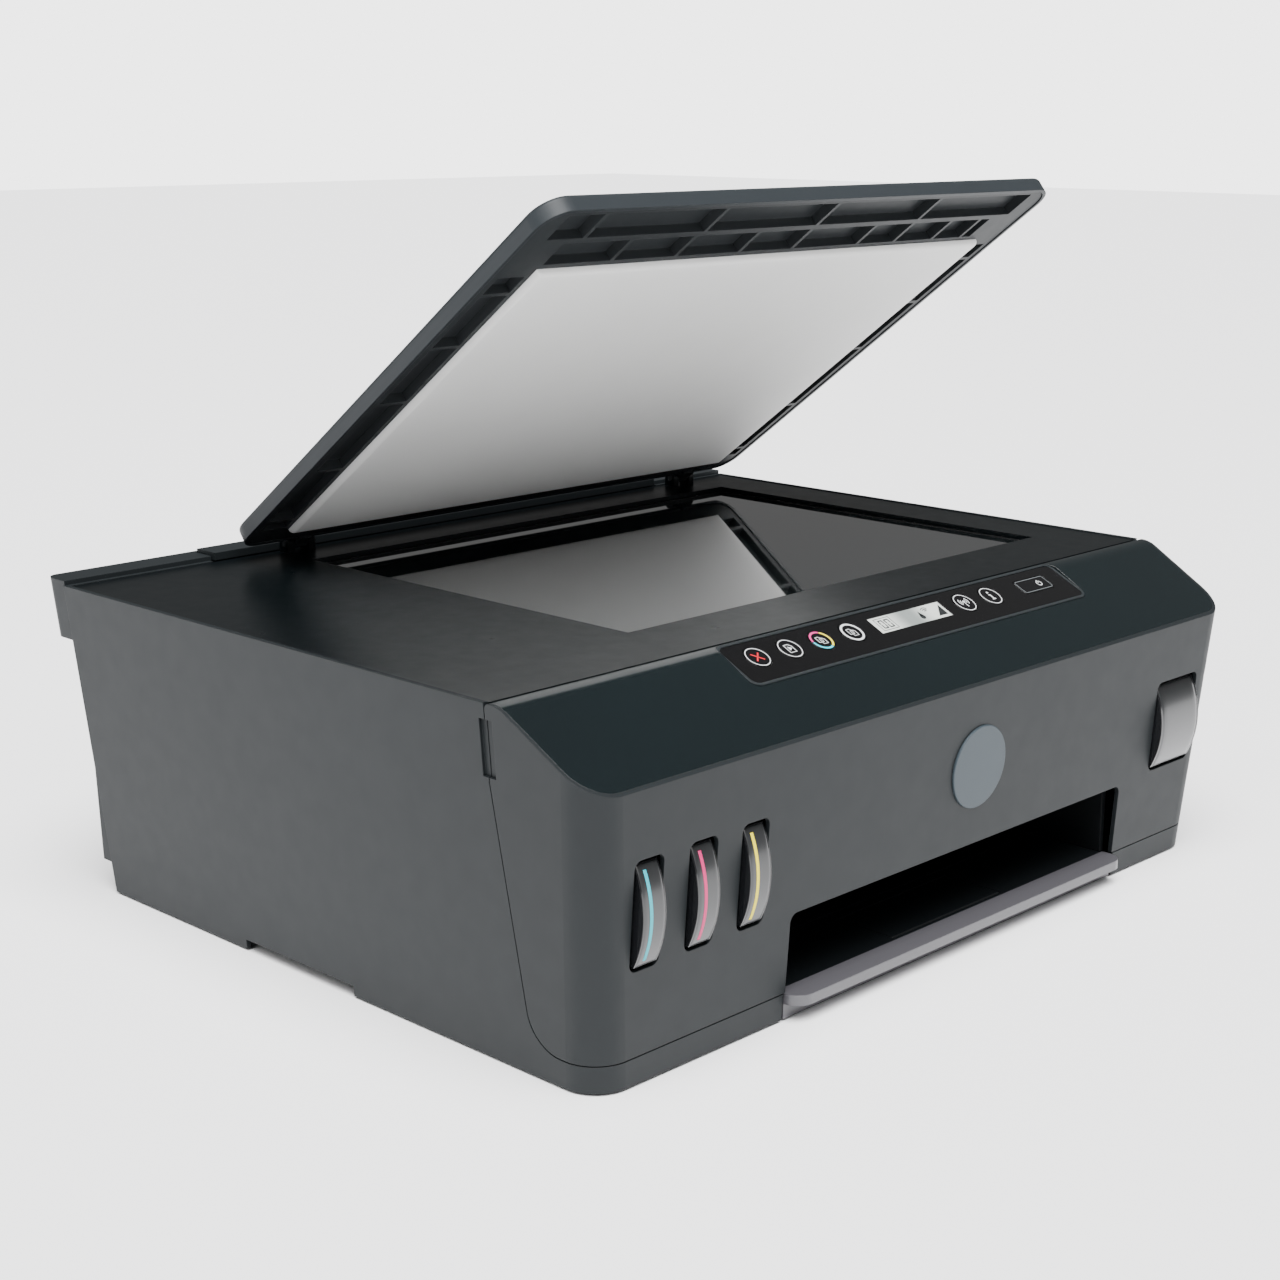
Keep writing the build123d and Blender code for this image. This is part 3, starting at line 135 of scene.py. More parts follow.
def polished(name, colour, rough, shade=0.0, **sockets):
    """Polished plastic: even colour, a clear skin, and only the slow waves of the moulding."""
    material, tree, shader = new_material(name, IOR=1.5, Coat_Weight=0.3, Coat_Roughness=0.06,
                                          Roughness=rough, **sockets)
    base = linear(colour)
    lighter = (*[min(c * (1 + shade), 1.0) for c in base[:3]], 1.0)
    tree.links.new(mixed(tree, base, lighter, noise(tree, 80 * MM, 1.0)), shader.inputs["Base Color"])
    rounded = add_node(tree, "ShaderNodeBevel", {"samples": 3}, Radius=EDGE).outputs[0]
    waves = noise(tree, 14 * MM, 1.0)
    bump = add_node(tree, "ShaderNodeBump", Strength=0.08, Distance=0.05 * MM, Height=waves, Normal=rounded)
    tree.links.new(bump.outputs[0], shader.inputs["Normal"])
    return material


def sheet_steel(name, colour, rough, along="X"):
    """Pressed or turned steel: fine draw lines along one axis, slightly uneven gloss."""
    material, tree, shader = new_material(name, Metallic=1.0)
    stretch = [1.0 if axis == along else 30.0 for axis in "XYZ"]
    lines = noise(tree, 12 * MM, 4.0, stretch)
    base = linear(colour)
    darker = (*[c * 0.75 for c in base[:3]], 1.0)
    tree.links.new(mixed(tree, darker, base, lines), shader.inputs["Base Color"])
    gloss = add_node(tree, "ShaderNodeMapRange", _0=lines, _3=rough - 0.08, _4=rough + 0.10).outputs[0]
    tree.links.new(gloss, shader.inputs["Roughness"])
    bump = add_node(tree, "ShaderNodeBump", Strength=0.2, Distance=0.02 * MM, Height=lines)
    tree.links.new(bump.outputs[0], shader.inputs["Normal"])
    return material


def printed_ink(name, colour):
    """Pad-printed ink: flat, a little uneven at its edge."""
    material, tree, shader = new_material(name, Roughness=0.45)
    base = linear(colour)
    darker = (*[c * 0.85 for c in base[:3]], 1.0)
    tree.links.new(mixed(tree, darker, base, noise(tree, 0.5 * MM, 1.0)), shader.inputs["Base Color"])
    return material


def lens_plastic(name, lit_foot_colour, shaded_top_colour):
    """Smoked polycarbonate over a tank, with a painted reflection: lighter towards its foot, darker towards
    its top.
    """
    material, tree, shader = new_material(name, IOR=1.58, Coat_Weight=0.2, Coat_Roughness=0.12,
                                          Roughness=0.28)
    # painted reflection: the colour runs from the lit colour at the lens foot to the dark colour at its top
    height = ramp(tree, part_of(tree, "Z"), 50 * MM, 93 * MM)
    tree.links.new(mixed(tree, linear(lit_foot_colour), linear(shaded_top_colour), height), shader.inputs["Base Color"])
    bump = add_node(tree, "ShaderNodeBump", Strength=0.1, Distance=0.05 * MM, Height=noise(tree, 5 * MM, 2.0))
    tree.links.new(bump.outputs[0], shader.inputs["Normal"])
    return material


def tray_plastic(name, lit_lip_colour, shaded_shelf_colour, edge_y):
    """Smoked tray: its front lip in a lit colour, with painted shade on the shelf behind it."""
    material, tree, shader = new_material(name, IOR=1.53, Roughness=0.34, Coat_Weight=0.25,
                                          Coat_Roughness=0.15)
    # painted shade: behind edge_y the tray turns to the dark shelf colour
    back = ramp(tree, part_of(tree, "Y"), edge_y - 0.1 * MM, edge_y + 0.1 * MM)
    tree.links.new(mixed(tree, linear(lit_lip_colour), linear(shaded_shelf_colour), back), shader.inputs["Base Color"])
    rounded = add_node(tree, "ShaderNodeBevel", {"samples": 3}, Radius=0.8 * MM).outputs[0]
    bump = add_node(tree, "ShaderNodeBump", Strength=0.3, Distance=0.02 * MM, Height=noise(tree, GRAIN, 2.0),
                    Normal=rounded)
    tree.links.new(bump.outputs[0], shader.inputs["Normal"])
    return material


def float_glass(name):
    """Scanner glass: smooth and clear with a faint green cast, over a dark pan."""
    material, tree, shader = new_material(name, IOR=1.52, Roughness=0.03, Transmission_Weight=0.35,
                                          Specular_IOR_Level=0.9, Coat_Weight=1.0, Coat_IOR=2.1,
                                          Coat_Roughness=0.03)
    dust = noise(tree, 30 * MM, 2.0)
    tree.links.new(mixed(tree, linear("#101415"), linear("#181d1e"), dust), shader.inputs["Base Color"])
    return material


def foam_film(name, colour):
    """Lid pad: white polyester film over foam, almost even, with a soft sheen."""
    material, tree, shader = new_material(name, Roughness=0.55, Sheen_Weight=0.15, IOR=1.45)
    base = linear(colour)
    darker = (*[c * 0.94 for c in base[:3]], 1.0)
    tree.links.new(mixed(tree, darker, base, noise(tree, 40 * MM, 2.0)), shader.inputs["Base Color"])
    dimples = noise(tree, 18 * MM, 2.0)
    bump = add_node(tree, "ShaderNodeBump", Strength=0.15, Distance=0.1 * MM, Height=dimples)
    tree.links.new(bump.outputs[0], shader.inputs["Normal"])
    return material


def soft_rubber(name, colour, rough=0.8):
    """Moulded or ground rubber: matt, with a fine tooth."""
    material, tree, shader = new_material(name, IOR=1.5)
    base = linear(colour)
    darker = (*[c * 0.7 for c in base[:3]], 1.0)
    tooth = noise(tree, 0.8 * MM, 3.0)
    tree.links.new(mixed(tree, darker, base, tooth), shader.inputs["Base Color"])
    shader.inputs["Roughness"].default_value = rough
    bump = add_node(tree, "ShaderNodeBump", Strength=0.5, Distance=0.06 * MM, Height=tooth)
    tree.links.new(bump.outputs[0], shader.inputs["Normal"])
    return material


def solder_mask(name):
    """Circuit board: green mask with fine copper tracks showing through."""
    material, tree, shader = new_material(name, Roughness=0.4, Coat_Weight=0.4, Coat_Roughness=0.2)
    place = add_node(tree, "ShaderNodeTexCoord").outputs["Object"]
    cells = add_node(tree, "ShaderNodeTexVoronoi", {"distance": "MANHATTAN", "feature": "F1"}, Vector=place,
                     Scale=1 / (3 * MM)).outputs["Distance"]
    tracks = ramp(tree, cells, 0.42, 0.5)
    tree.links.new(mixed(tree, linear("#1e4a2c"), linear("#3c7a4c"), tracks), shader.inputs["Base Color"])
    return material


FINISH = {
    "casing_grey": moulded("moulded ABS, grey, eroded grain", "#171b1d", 0.5),
    "pan_grey": moulded("moulded ABS, dark grey floor pan", "#202224", 0.55),
    "foot_rubber": soft_rubber("moulded rubber foot", "#1d1d1f"),
    "deck_black": moulded("moulded ABS, blue-black deck", "#05090b", 0.3),
    "fascia_gloss": polished("polished ABS, blue-black fascia", "#081012", 0.2, 0.25),
    "panel_rim_grey": moulded("satin ABS panel rim", "#24282a", 0.36, 0.008 * MM),
    "panel_black": polished("tinted acrylic panel lens", "#070708", 0.1),
    "button_black": polished("tinted acrylic key", "#08080a", 0.12),
    "lcd_glass": polished("display module", "#2a2d2e", 0.25),
    "board_green": solder_mask("circuit board, green mask"),
    "badge_grey": moulded("satin ABS badge", "#363f45", 0.34, 0.01 * MM),
    "glass_clear": float_glass("float glass"),
    "scanner_black": moulded("moulded ABS, scanner pan", "#101214", 0.6),
    "lid_grey": moulded("moulded ABS, lid grey", "#262a2d", 0.46),
    "lid_dark": moulded("moulded ABS, lid frame", "#25282a", 0.5),
    "pad_white": foam_film("polyester film on foam", "#f2f2f0"),
    # tray lip and shelf: the dark shelf colour is painted shade
    "tray_smoke": tray_plastic("smoked ABS tray", "#48474b", "#0b0e10", -0.1668),
    # smoked tank plastic, with painted shade: darker than the lens skins on its front, so the lens side faces
    # read as shaded
    "tank_smoke": polished("smoked polycarbonate tank, darkened as painted shade", "#141517", 0.15),
    "cap_cyan": soft_rubber("moulded rubber cap, cyan", "#1f8fa8", 0.6),
    "cap_magenta": soft_rubber("moulded rubber cap, magenta", "#b03a6c", 0.6),
    "cap_yellow": soft_rubber("moulded rubber cap, yellow", "#d9c93a", 0.6),
    "cap_black": soft_rubber("moulded rubber cap, black", "#1d1d1f", 0.6),
    "roller_rubber": soft_rubber("ground rubber roller", "#2b2b2d"),
    "gear_nylon": moulded("moulded nylon gear", "#d8d6cd", 0.4, 0.006 * MM, 0.05),
    "rail_steel": sheet_steel("galvanised sheet steel", "#a9adb0", 0.36),
    "motor_steel": sheet_steel("drawn steel can", "#8d9093", 0.3, "Z"),
    "mechanism_black": moulded("moulded ABS, mechanism black", "#0c0f11", 0.5),
    "screw_steel": sheet_steel("zinc-plated steel screw", "#8c8f91", 0.32, "Z"),
}
MARKS = {
    "white": printed_ink("printed ink, white", "#d8dadb"),
    "red": printed_ink("printed ink, red", "#c8202c"),
    "cyan": printed_ink("printed ink, cyan", "#2fc3d8"),
    "magenta": printed_ink("printed ink, magenta", "#d63a86"),
    "yellow": printed_ink("printed ink, yellow", "#e6d53a"),
    "grey": printed_ink("printed ink, grey", "#6f7476"),
}

slot_of = {row["node"]: row["material_slot"] for row in frame["record"]["subparts"]}
for node_name, node_object in NODES.items():
    node_object.data.materials.clear()
    node_object.data.materials.append(FINISH[slot_of[node_name]])


# ---- mesh helpers --------------------------------------------------------------------------

def put(name, vertices, faces, material, body):
    """A mesh object at the origin from arrays of points and faces, riding on a body."""
    mesh = bpy.data.meshes.new(name)
    mesh.from_pydata(np.asarray(vertices, float).tolist(), [], [tuple(int(i) for i in f) for f in faces])
    mesh.materials.append(material)
    mesh.validate()
    piece = bpy.data.objects.new(name, mesh)
    bpy.context.scene.collection.objects.link(piece)
    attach(piece, body)
    return piece


def grid_faces(rows, columns, first=0, closed=False):
    """Quads of a grid of rows by columns of points; closed joins the last column to the first."""
    r, c = np.meshgrid(np.arange(rows - 1), np.arange(columns if closed else columns - 1), indexing="ij")
    a = first + r * columns + c
    b = first + r * columns + (c + 1) % columns
    return np.stack([a, b, b + columns, a + columns], -1).reshape(-1, 4)


def shell_faces(rows, columns):
    """Faces of a thin shell: a grid, a second grid behind it facing the other way, and a rim between them."""
    count = rows * columns
    faces = [tuple(f) for f in grid_faces(rows, columns)]
    faces += [tuple(f[::-1]) for f in grid_faces(rows, columns, count)]
    rim = np.concatenate([np.arange(columns), np.arange(1, rows) * columns + columns - 1,
                          (rows - 1) * columns + np.arange(columns - 2, -1, -1),
                          np.arange(rows - 2, 0, -1) * columns])
    faces += [(int(a), int(a + count), int(b + count), int(b)) for a, b in zip(rim, np.roll(rim, -1))]
    return faces


def smooth(piece):
    """Shades every face of a piece smoothly."""
    for polygon in piece.data.polygons:
        polygon.use_smooth = True
    return piece


def plate(outline, low, high, place):
    """A flat plate: the closed outline, given as rows of two numbers, between two heights of a plane."""
    outline = np.asarray(outline, float)
    count = len(outline)
    area = np.sum(outline[:, 0] * np.roll(outline[:, 1], -1) - np.roll(outline[:, 0], -1) * outline[:, 1])
    if area < 0:
        outline = outline[::-1]
    points = np.vstack([place(outline[:, 0], outline[:, 1], np.full(count, h)) for h in (low, high)])
    ring = np.arange(count)
    faces = [tuple(ring[::-1]), tuple(ring + count)]
    faces += [(i, (i + 1) % count, (i + 1) % count + count, i + count) for i in ring]
    return points, faces


def stroke(line, width, low, high, place, closed=False):
    """A line of a given width: its two edges lie half the width to each side, between two heights."""
    line = np.asarray(line, float)
    if closed:
        ahead, behind = np.roll(line, -1, 0), np.roll(line, 1, 0)
    else:
        ahead, behind = np.vstack([line[1:], line[-1:]]), np.vstack([line[:1], line[:-1]])
    run = ahead - behind
    run /= np.linalg.norm(run, axis=1)[:, None]
    side = np.stack([-run[:, 1], run[:, 0]], 1) * width / 2
    left, right = line + side, line - side
    count = len(line)
    section = [(right, low), (left, low), (left, high), (right, high)]
    rings = np.stack([place(e[:, 0], e[:, 1], np.full(count, h)) for e, h in section], 1)
    points = rings.reshape(-1, 3)
    faces = [tuple(f) for f in grid_faces(count, 4, 0, True)[:, ::-1]]
    if closed:
        last = (count - 1) * 4
        faces += [(last + (k + 1) % 4, last + k, k, (k + 1) % 4)[::-1] for k in range(4)]
    else:
        faces += [(3, 2, 1, 0)[::-1], tuple(np.array((0, 1, 2, 3))[::-1] + (count - 1) * 4)]
    return points, faces


def joined(parts):
    """Several (points, faces) pairs as one."""
    points, faces, offset = [], [], 0
    for part_points, part_faces in parts:
        points.append(part_points)
        faces += [tuple(int(i) + offset for i in f) for f in part_faces]
        offset += len(part_points)
    return np.vstack(points), faces


def arc(radius, start, end, steps=40, centre=(0.0, 0.0)):
    """Points of an arc between two angles in degrees."""
    angle = np.radians(np.linspace(start, end, steps))
    return np.stack([centre[0] + radius * np.cos(angle), centre[1] + radius * np.sin(angle)], 1)


def ring(radius, width, low, high, place, centre=(0.0, 0.0), steps=48):
    """A full circle drawn with a line of a given width."""
    line = arc(radius, 0, 360 * (1 - 1 / steps), steps, centre)
    return stroke(line, width, low, high, place, closed=True)


def rounded_rectangle(width, depth, corner, centre=(0.0, 0.0), steps=8):
    """Outline of a rectangle with rounded corners."""
    corners = [(1, 1, 0), (-1, 1, 90), (-1, -1, 180), (1, -1, 270)]
    across, along = width / 2 - corner, depth / 2 - corner
    return np.vstack([arc(corner, turn, turn + 90, steps, (centre[0] + sx * across, centre[1] + sy * along))
                      for sx, sy, turn in corners])


# ---- control panel marks -------------------------------------------------------------------
PANEL_TILT = math.radians(26.5)
PANEL_ORIGIN = np.array([17.3, -127.0, 151.0])
PANEL_UP_SLOPE = np.array([0.0, math.cos(PANEL_TILT), math.sin(PANEL_TILT)])
PANEL_NORMAL = np.array([0.0, -math.sin(PANEL_TILT), math.cos(PANEL_TILT)])
KEY_LINE = -12.8
KEY_X = {"cancel": -103.3, "resume": -82.8, "color_copy": -62.3, "black_copy": -41.6, "wireless": 39.7,
         "info": 59.9, "power": 94.7}
KEY_FACE = -0.15        # key tops, from the panel's plane
MARK_LOW = -0.06        # printed marks start a little inside the surface that they lie on
MARK_HIGH = 0.05


def on_panel(middle_x, face):
    """Turns marks drawn about a key's centre into points on the panel, in metres."""
    def place(u, v, w):
        along = (middle_x + u)[:, None] * np.array([1.0, 0.0, 0.0])
        up = (KEY_LINE + v)[:, None] * PANEL_UP_SLOPE
        return (PANEL_ORIGIN + along + up + (face + w)[:, None] * PANEL_NORMAL) * MM
    return place


def mark(name, key, parts, colour):
    """One printed mark on a key."""
    points, faces = joined(parts)
    return put(name, points, faces, MARKS[colour], key + "_key")


def line_mark(key, line, width, closed=False):
    """A printed line on a key."""
    return stroke(line, width, MARK_LOW, MARK_HIGH, on_panel(KEY_X[key], KEY_FACE), closed)


def ring_mark(key, radius, width, centre=(0.0, 0.0)):
    """A printed circle on a key."""
    return ring(radius, width, MARK_LOW, MARK_HIGH, on_panel(KEY_X[key], KEY_FACE), centre)


def page_outline(left, low, wide, high, fold):
    """A sheet of paper with its upper right corner folded."""
    right, top = left + wide, low + high
    return [(left, low), (right, low), (right, top - fold), (right - fold, top), (left, top)]


for key_name in ("cancel", "resume", "wireless", "info"):
    mark(key_name + "_ring", key_name, [ring_mark(key_name, 5.6, 0.38)], "white")
mark("black_copy_ring", "black_copy", [ring_mark("black_copy", 5.3, 1.0)], "white")
for colour_name, start_angle in (("magenta", 62.0), ("cyan", 182.0), ("yellow", -58.0)):
    mark("color_copy_ring_" + colour_name, "color_copy",
         [line_mark("color_copy", arc(5.3, start_angle, start_angle + 116, 24), 1.0)], colour_name)

mark("cancel_cross", "cancel", [line_mark("cancel", [(-2.3, -2.3), (2.3, 2.3)], 0.7),
                                line_mark("cancel", [(-2.3, 2.3), (2.3, -2.3)], 0.7)], "red")
mark("resume_page", "resume",
     [line_mark("resume", page_outline(-1.9, -2.5, 3.8, 5.0, 1.3), 0.4, True),
      plate([(-0.7, -1.3), (1.2, 0.0), (-0.7, 1.3)], MARK_LOW, MARK_HIGH,
            on_panel(KEY_X["resume"], KEY_FACE))], "white")
for key_name in ("color_copy", "black_copy"):
    mark(key_name + "_pages", key_name,
         [line_mark(key_name, page_outline(-2.2, -1.2, 2.7, 3.4, 0.8), 0.35, True),
          line_mark(key_name, page_outline(-0.6, -2.4, 2.7, 3.4, 0.8), 0.35, True)], "white")
mark("wireless_waves", "wireless",
     [line_mark("wireless", [(0.0, 0.2), (0.0, -3.0)], 0.45), ring_mark("wireless", 0.45, 0.5, (0.0, 0.7))]
     + [line_mark("wireless", arc(radius, side - 42, side + 42, 12, (0.0, 0.7)), 0.4)
        for radius in (1.7, 2.9) for side in (0, 180)],
     "white")
mark("info_sign", "info",
     [line_mark("info", [(-0.7, 0.7), (0.25, 0.7), (0.25, -2.4)], 0.8),
      line_mark("info", [(-0.9, -2.4), (1.3, -2.4)], 0.6),
      plate(arc(0.6, 0, 340, 16, (0.1, 2.4)), MARK_LOW, MARK_HIGH,
            on_panel(KEY_X["info"], KEY_FACE))], "white")
mark("power_outline", "power", [line_mark("power", rounded_rectangle(22.0, 8.2, 1.2), 0.25, True)], "grey")
mark("power_sign", "power", [line_mark("power", arc(1.6, 120, 420, 30, (4.5, 0.0)), 0.42),
                             line_mark("power", [(4.5, 0.3), (4.5, 2.3)], 0.42)], "white")

# display: a pale pane with dark figures
LCD_X = -0.5
LCD_WIDE = 50.6
LCD_DEEP = 10.2
LCD_FACE = -0.5


def display_material():
    """Liquid-crystal pane: pale grey with a painted reflection, a soft darker band across the middle of its
    width.
    """
    material, tree, shader = new_material("liquid-crystal pane, painted reflection band", Roughness=0.12, Coat_Weight=0.8,
                                          Coat_Roughness=0.05)
    across = part_of(tree, "X")
    middle = (PANEL_ORIGIN[0] + LCD_X) * MM
    # painted reflection: darker near the middle of the pane, paler towards its ends
    offset = add_node(tree, "ShaderNodeMath", {"operation": "SUBTRACT"}, _0=across, _1=middle).outputs[0]
    band = add_node(tree, "ShaderNodeMath", {"operation": "ABSOLUTE"}, _0=offset)
    pale = ramp(tree, band.outputs[0], 2 * MM, 16 * MM)
    tree.links.new(mixed(tree, linear("#7f8583"), linear("#c9cdc8"), pale), shader.inputs["Base Color"])
    return material


def display_part(outline, low=0.0, high=0.12):
    """A flat figure on the display."""
    return plate(outline, low, high, on_panel(LCD_X, LCD_FACE))


def bar(x0, y0, x1, y1):
    """A small rectangle."""
    return [(x0, y0), (x1, y0), (x1, y1), (x0, y1)]


pane_points, pane_faces = plate(bar(-LCD_WIDE / 2, -LCD_DEEP / 2, LCD_WIDE / 2, LCD_DEEP / 2), -1.0, 0.0,
                                on_panel(LCD_X, LCD_FACE))
put("display_pane", pane_points, pane_faces, display_material(), "door")
figures = []
for digit_x in (-19.5, -15.4):
    for x0, y0, x1, y1 in ((-1.3, 2.2, 1.3, 2.8), (-1.3, -2.8, 1.3, -2.2), (-1.5, 0.2, -0.9, 2.6),
                           (-1.5, -2.6, -0.9, -0.2), (0.9, 0.2, 1.5, 2.6), (0.9, -2.6, 1.5, -0.2)):
        figures.append(display_part(bar(digit_x + x0, y0, digit_x + x1, y1)))
figures.append(stroke([(-22.6, -3.9), (-12.3, -3.9), (-12.3, 3.9), (-22.6, 3.9)], 0.3, 0.0, 0.12,
                      on_panel(LCD_X, LCD_FACE), True))
figures.append(display_part([(17.5, -3.6), (23.6, -3.6), (23.6, 3.2)]))
figures += [stroke(arc(radius, 45, 135, 10, (12.6, 0.6)), 0.35, 0.0, 0.12, on_panel(LCD_X, LCD_FACE))
            for radius in (1.0, 2.0, 3.0)]
figures.append(display_part(arc(1.5, 0, 345, 20, (7.4, -1.6))))
figures.append(display_part([(6.2, -0.8), (7.4, 2.0), (8.6, -0.8)]))
figure_points, figure_faces = joined(figures)
put("display_figures", figure_points, figure_faces, printed_ink("liquid-crystal figure, dark", "#1b1e1f"),
    "door")


# ---- ink windows: lens face, its lit edge, and the level stripe -------------------------------
LENS_HALF = 20.5
LENS_MIDDLE = 71.5
LENS_BULGE = 4.2
LENS_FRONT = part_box("tank_cyan")[0].y / MM
CHORD_Y = LENS_FRONT + LENS_BULGE + 1.0
LENS_RISE = CHORD_Y - LENS_FRONT
LENS_RADIUS = (LENS_HALF ** 2 + LENS_RISE ** 2) / (2 * LENS_RISE)


def lens_y(z, proud=0.0):
    """Front of a lens at a height: a circular arc through its two ends and its foremost line."""
    return LENS_FRONT + LENS_RADIUS - np.sqrt((LENS_RADIUS + proud) ** 2 - (z - LENS_MIDDLE) ** 2)


def lens_skin(name, middle_x, width, body, material, proud, half=LENS_HALF - 0.3, edge=0.5):
    """A thin skin on a lens: a grid over its width and height whose rim turns down over a quarter circle."""
    u = np.linspace(-1, 1, 13)
    v = np.linspace(-1, 1, 41)
    across, up = np.meshgrid(u, v)
    turn = np.clip((np.maximum(np.abs(across) - (1 - edge / (width / 2)), 0)) / (edge / (width / 2)), 0, 1)
    sink = edge * (1 - np.sqrt(np.clip(1 - turn ** 2, 0, 1))) * 0.8
    z = LENS_MIDDLE + up * half
    front = lens_y(z, proud) + sink
    outer = np.stack([middle_x + across * width / 2, front, z], -1).reshape(-1, 3)
    behind = np.maximum(lens_y(z, -0.25), front + 0.05)
    inner = np.stack([middle_x + across * width / 2, behind, z], -1).reshape(-1, 3)
    return smooth(put(name, np.vstack([outer, inner]) * MM, shell_faces(*across.shape), material, body))


# Lens colours hold a painted reflection: lighter at the foot and darker at the top, strongest on the black
# tank's lens.
LENS_SMOKE = lens_plastic("smoked polycarbonate lens", "#2f3032", "#202122")
LENS_BLACK = lens_plastic("smoked polycarbonate lens, black tank", "#4c4d4f", "#161718")
STRIPES = {"cyan": "#0fa6b4", "magenta": "#c81e6a", "yellow": "#e8d614"}
COLOUR_X = {"cyan": -190.0, "magenta": -160.0, "yellow": -130.0}
for colour_name, middle in COLOUR_X.items():
    lens_skin("lens_" + colour_name, middle, 11.8, "base", LENS_SMOKE, 0.25)
    stripe_ink = printed_ink("level stripe, " + colour_name, STRIPES[colour_name])
    lens_skin("stripe_" + colour_name, middle - 2.0, 1.8, "base", stripe_ink, 0.42,
              LENS_HALF - 2.5, 0.3)
lens_skin("lens_black", 182.0, 33.4, "base", LENS_BLACK, 0.25)


# ---- scanner: dark border printed under the glass -----------------------------------------------
GLASS_X = (-106.2, 190.8)
GLASS_Y = (-83.7, 132.3)
BORDER = 4.0


def level(u, v, w):
    """Points given by x, y and z in millimetres."""
    return np.stack([u, v, w], 1) * MM


glass_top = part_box("scanner_glass")[1].z / MM
strips = [bar(GLASS_X[0], GLASS_Y[0], GLASS_X[1], GLASS_Y[0] + BORDER),
          bar(GLASS_X[0], GLASS_Y[1] - 2.0, GLASS_X[1], GLASS_Y[1]),
          bar(GLASS_X[0], GLASS_Y[0] + BORDER, GLASS_X[0] + 2.5, GLASS_Y[1] - 2.0),
          bar(GLASS_X[1] - 3.0, GLASS_Y[0] + BORDER, GLASS_X[1], GLASS_Y[1] - 2.0)]
border_points, border_faces = joined([plate(s, glass_top - 0.05, glass_top + 0.06, level) for s in strips])
put("glass_border", border_points, border_faces, printed_ink("screen-printed border, black", "#050607"),
    "base")


# ---- lid pad: foam under a white film ------------------------------------------------------------
LID_TILT = math.radians(37.0)
LID_AXIS = np.array([0.0, 155.6, 154.3])
LID_TOWARDS_FREE_EDGE = np.array([0.0, -math.cos(LID_TILT), math.sin(LID_TILT)])
LID_UP = np.array([0.0, math.sin(LID_TILT), math.cos(LID_TILT)])
PAD_X = (-112.7, 197.0)
PAD_FORWARD = (17.0, 240.2)
PAD_LOW, PAD_HIGH = -4.0, -0.5


def on_lid(x, forward, height):
    """Points of the open lid, in metres: x, distance from the hinge, and height towards its top side."""
    return (LID_AXIS + x[:, None] * np.array([1.0, 0.0, 0.0]) + forward[:, None] * LID_TOWARDS_FREE_EDGE
            + height[:, None] * LID_UP) * MM


def pad_shell(columns=61, rows=45, edge=2.2):
    """The pad's face: a grid whose rim falls back over a quarter circle, crowned by 0.25 mm in the middle."""
    rim_steps = np.array([0, 0.08, 0.25, 0.5, 0.75])
    u = np.concatenate([rim_steps, np.linspace(1, columns, columns), columns + 1 - rim_steps[::-1]])
    v = np.concatenate([rim_steps, np.linspace(1, rows, rows), rows + 1 - rim_steps[::-1]])
    wide, deep = PAD_X[1] - PAD_X[0], PAD_FORWARD[1] - PAD_FORWARD[0]
    x = np.where(u < 1, u * edge, np.where(u > columns, wide - (columns + 1 - u) * edge,
                                           edge + (u - 1) / (columns - 1) * (wide - 2 * edge)))
    y = np.where(v < 1, v * edge, np.where(v > rows, deep - (rows + 1 - v) * edge,
                                           edge + (v - 1) / (rows - 1) * (deep - 2 * edge)))
    gx, gy = np.meshgrid(x, y)
    near = np.minimum(np.minimum(gx, wide - gx), np.minimum(gy, deep - gy))
    drop = 1 - np.sqrt(np.clip(1 - (1 - np.clip(near / edge, 0, 1)) ** 2, 0, 1))
    crown = np.sin(np.pi * gx / wide) ** 0.4 * np.sin(np.pi * gy / deep) ** 0.4
    face = PAD_LOW + 0.25 * (1 - crown) + drop * (PAD_HIGH - PAD_LOW - 0.4)
    count = gx.size
    low = on_lid(PAD_X[0] + gx.ravel(), PAD_FORWARD[0] + gy.ravel(), face.ravel())
    high = on_lid(PAD_X[0] + gx.ravel(), PAD_FORWARD[0] + gy.ravel(), np.full(count, PAD_HIGH))
    return np.vstack([low, high]), shell_faces(*gx.shape)


pad_points, pad_faces = pad_shell()
pad = smooth(put("document_pad", pad_points, pad_faces, FINISH["pad_white"], "lid"))
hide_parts("lid_pad")


# ---- floor, light and camera -----------------------------------------------------------------
FLOOR_HALF = 8.0        # metres
floor_mesh = bpy.data.meshes.new("floor")
floor_corners = [(x * FLOOR_HALF, y * FLOOR_HALF, 0) for x, y in ((-1, -1), (1, -1), (1, 1), (-1, 1))]
floor_mesh.from_pydata(floor_corners, [], [(0, 1, 2, 3)])
floor = bpy.data.objects.new("floor", floor_mesh)
bpy.context.scene.collection.objects.link(floor)
floor_paint, _, floor_shader = new_material("studio paper, pale", Roughness=0.9)
floor_shader.inputs["Base Color"].default_value = linear("#f6f6f7")
floor_shader.inputs["Specular IOR Level"].default_value = 0.0
floor_mesh.materials.append(floor_paint)

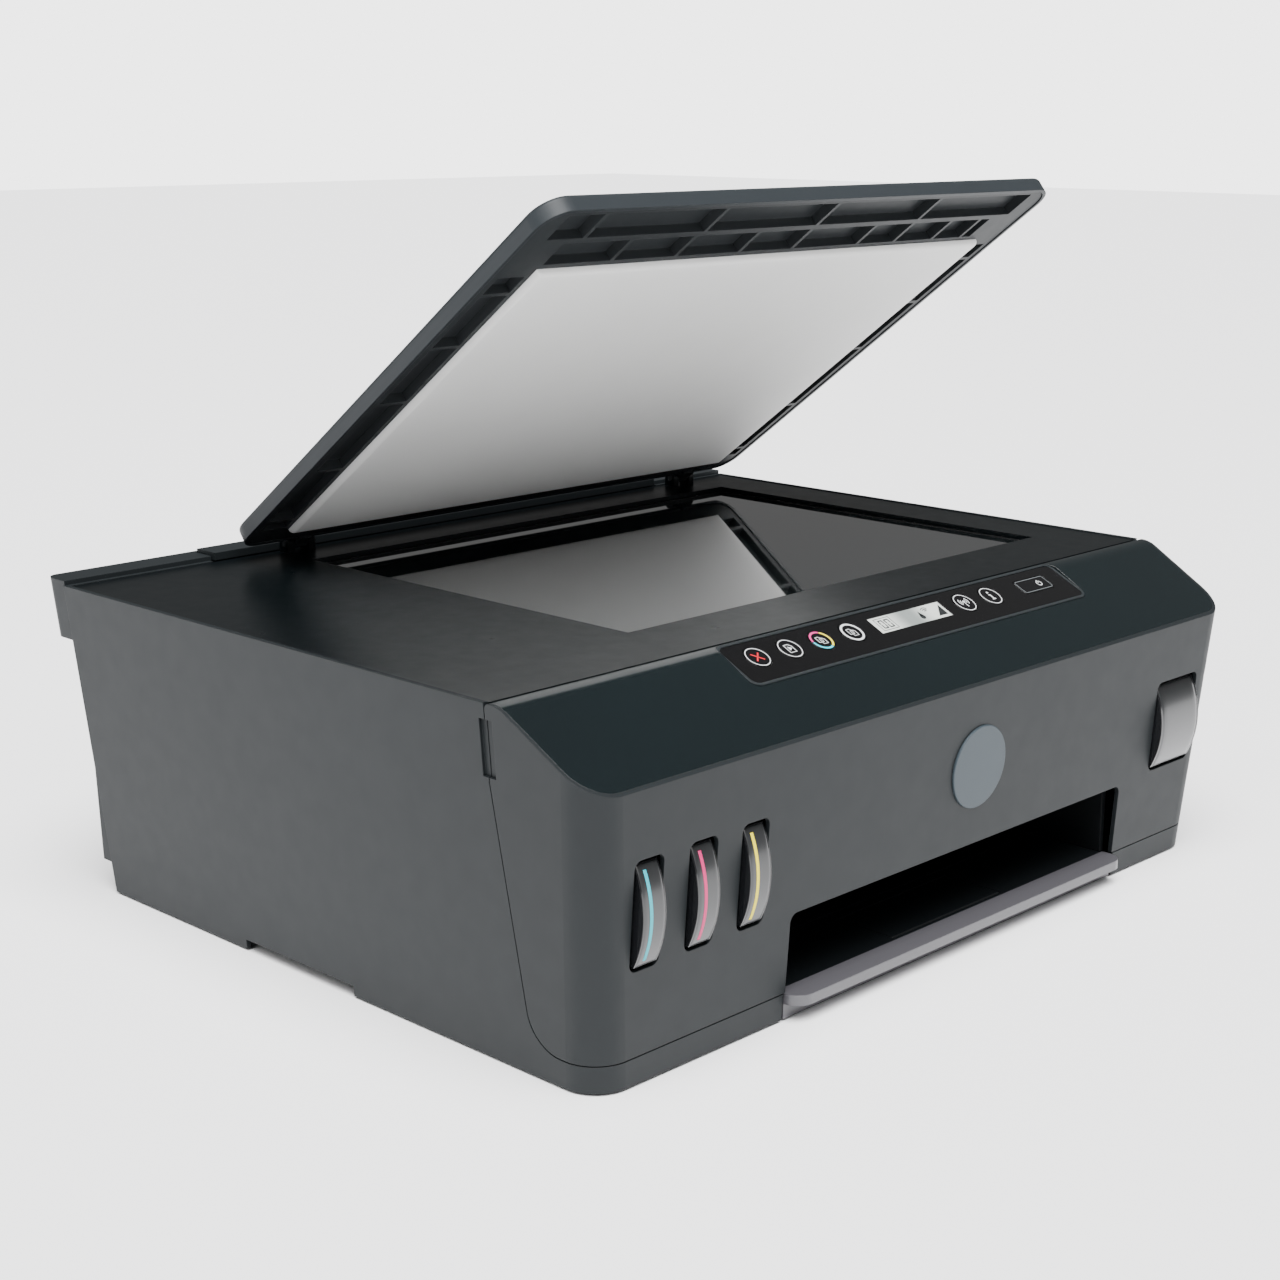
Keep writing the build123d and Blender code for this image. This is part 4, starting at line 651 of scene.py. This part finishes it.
WALL_GLOW = 3.8         # the white wall as it is seen
WALL_LIGHT = 0.16       # the light that it gives
world = bpy.data.worlds.new("studio")
bpy.context.scene.world = world
world.use_nodes = True
sky = world.node_tree
seen = add_node(sky, "ShaderNodeLightPath").outputs["Is Camera Ray"]
strength = add_node(sky, "ShaderNodeMapRange", _0=seen, _3=WALL_LIGHT, _4=WALL_GLOW).outputs[0]
sky.nodes["Background"].inputs["Color"].default_value = linear("#ffffff")
sky.links.new(strength, sky.nodes["Background"].inputs["Strength"])


def softbox(name, place, aim, size, power):
    """A square area lamp at place, turned to aim."""
    lamp = bpy.data.lights.new(name, "AREA")
    lamp.shape = "SQUARE"
    lamp.size = size
    lamp.energy = power
    lamp_object = bpy.data.objects.new(name, lamp)
    lamp_object.location = place
    lamp_object.rotation_mode = "QUATERNION"
    lamp_object.rotation_quaternion = (Vector(aim) - Vector(place)).to_track_quat("-Z", "Y")
    bpy.context.scene.collection.objects.link(lamp_object)


softbox("left softbox", (-2.6, -0.5, 2.0), (0, 0, 0.1), 1.8, 40)
softbox("front softbox", (-0.8, -2.8, 2.0), (0, 0, 0.1), 1.8, 26)
soft_sun = bpy.data.lights.new("ceiling light", "SUN")
soft_sun.energy = 9.5
soft_sun.angle = math.radians(50)
sun_object = bpy.data.objects.new("ceiling light", soft_sun)
sun_object.rotation_euler = (math.radians(16), math.radians(-12), 0)
bpy.context.scene.collection.objects.link(sun_object)

CAMERA_PLACE = Vector((-0.746, -0.712, 0.365))
CAMERA_AZIMUTH = math.radians(-45.84)
CAMERA_DIP = math.radians(13.7)
CAMERA_ROLL = math.radians(0.16)
forward = Vector((-math.sin(CAMERA_AZIMUTH) * math.cos(CAMERA_DIP),
                  math.cos(CAMERA_AZIMUTH) * math.cos(CAMERA_DIP), -math.sin(CAMERA_DIP)))
level_right = forward.cross(Vector((0, 0, 1))).normalized()
level_up = level_right.cross(forward)
right = level_right * math.cos(CAMERA_ROLL) + level_up * math.sin(CAMERA_ROLL)
up = level_up * math.cos(CAMERA_ROLL) - level_right * math.sin(CAMERA_ROLL)
camera_data = bpy.data.cameras.new("camera")
camera_data.sensor_width = 36.0
camera_data.lens = 61.7
camera = bpy.data.objects.new("camera", camera_data)
camera.matrix_world = Matrix.Translation(CAMERA_PLACE) @ Matrix((right, up, -forward)).transposed().to_4x4()
bpy.context.scene.collection.objects.link(camera)
bpy.context.scene.camera = camera
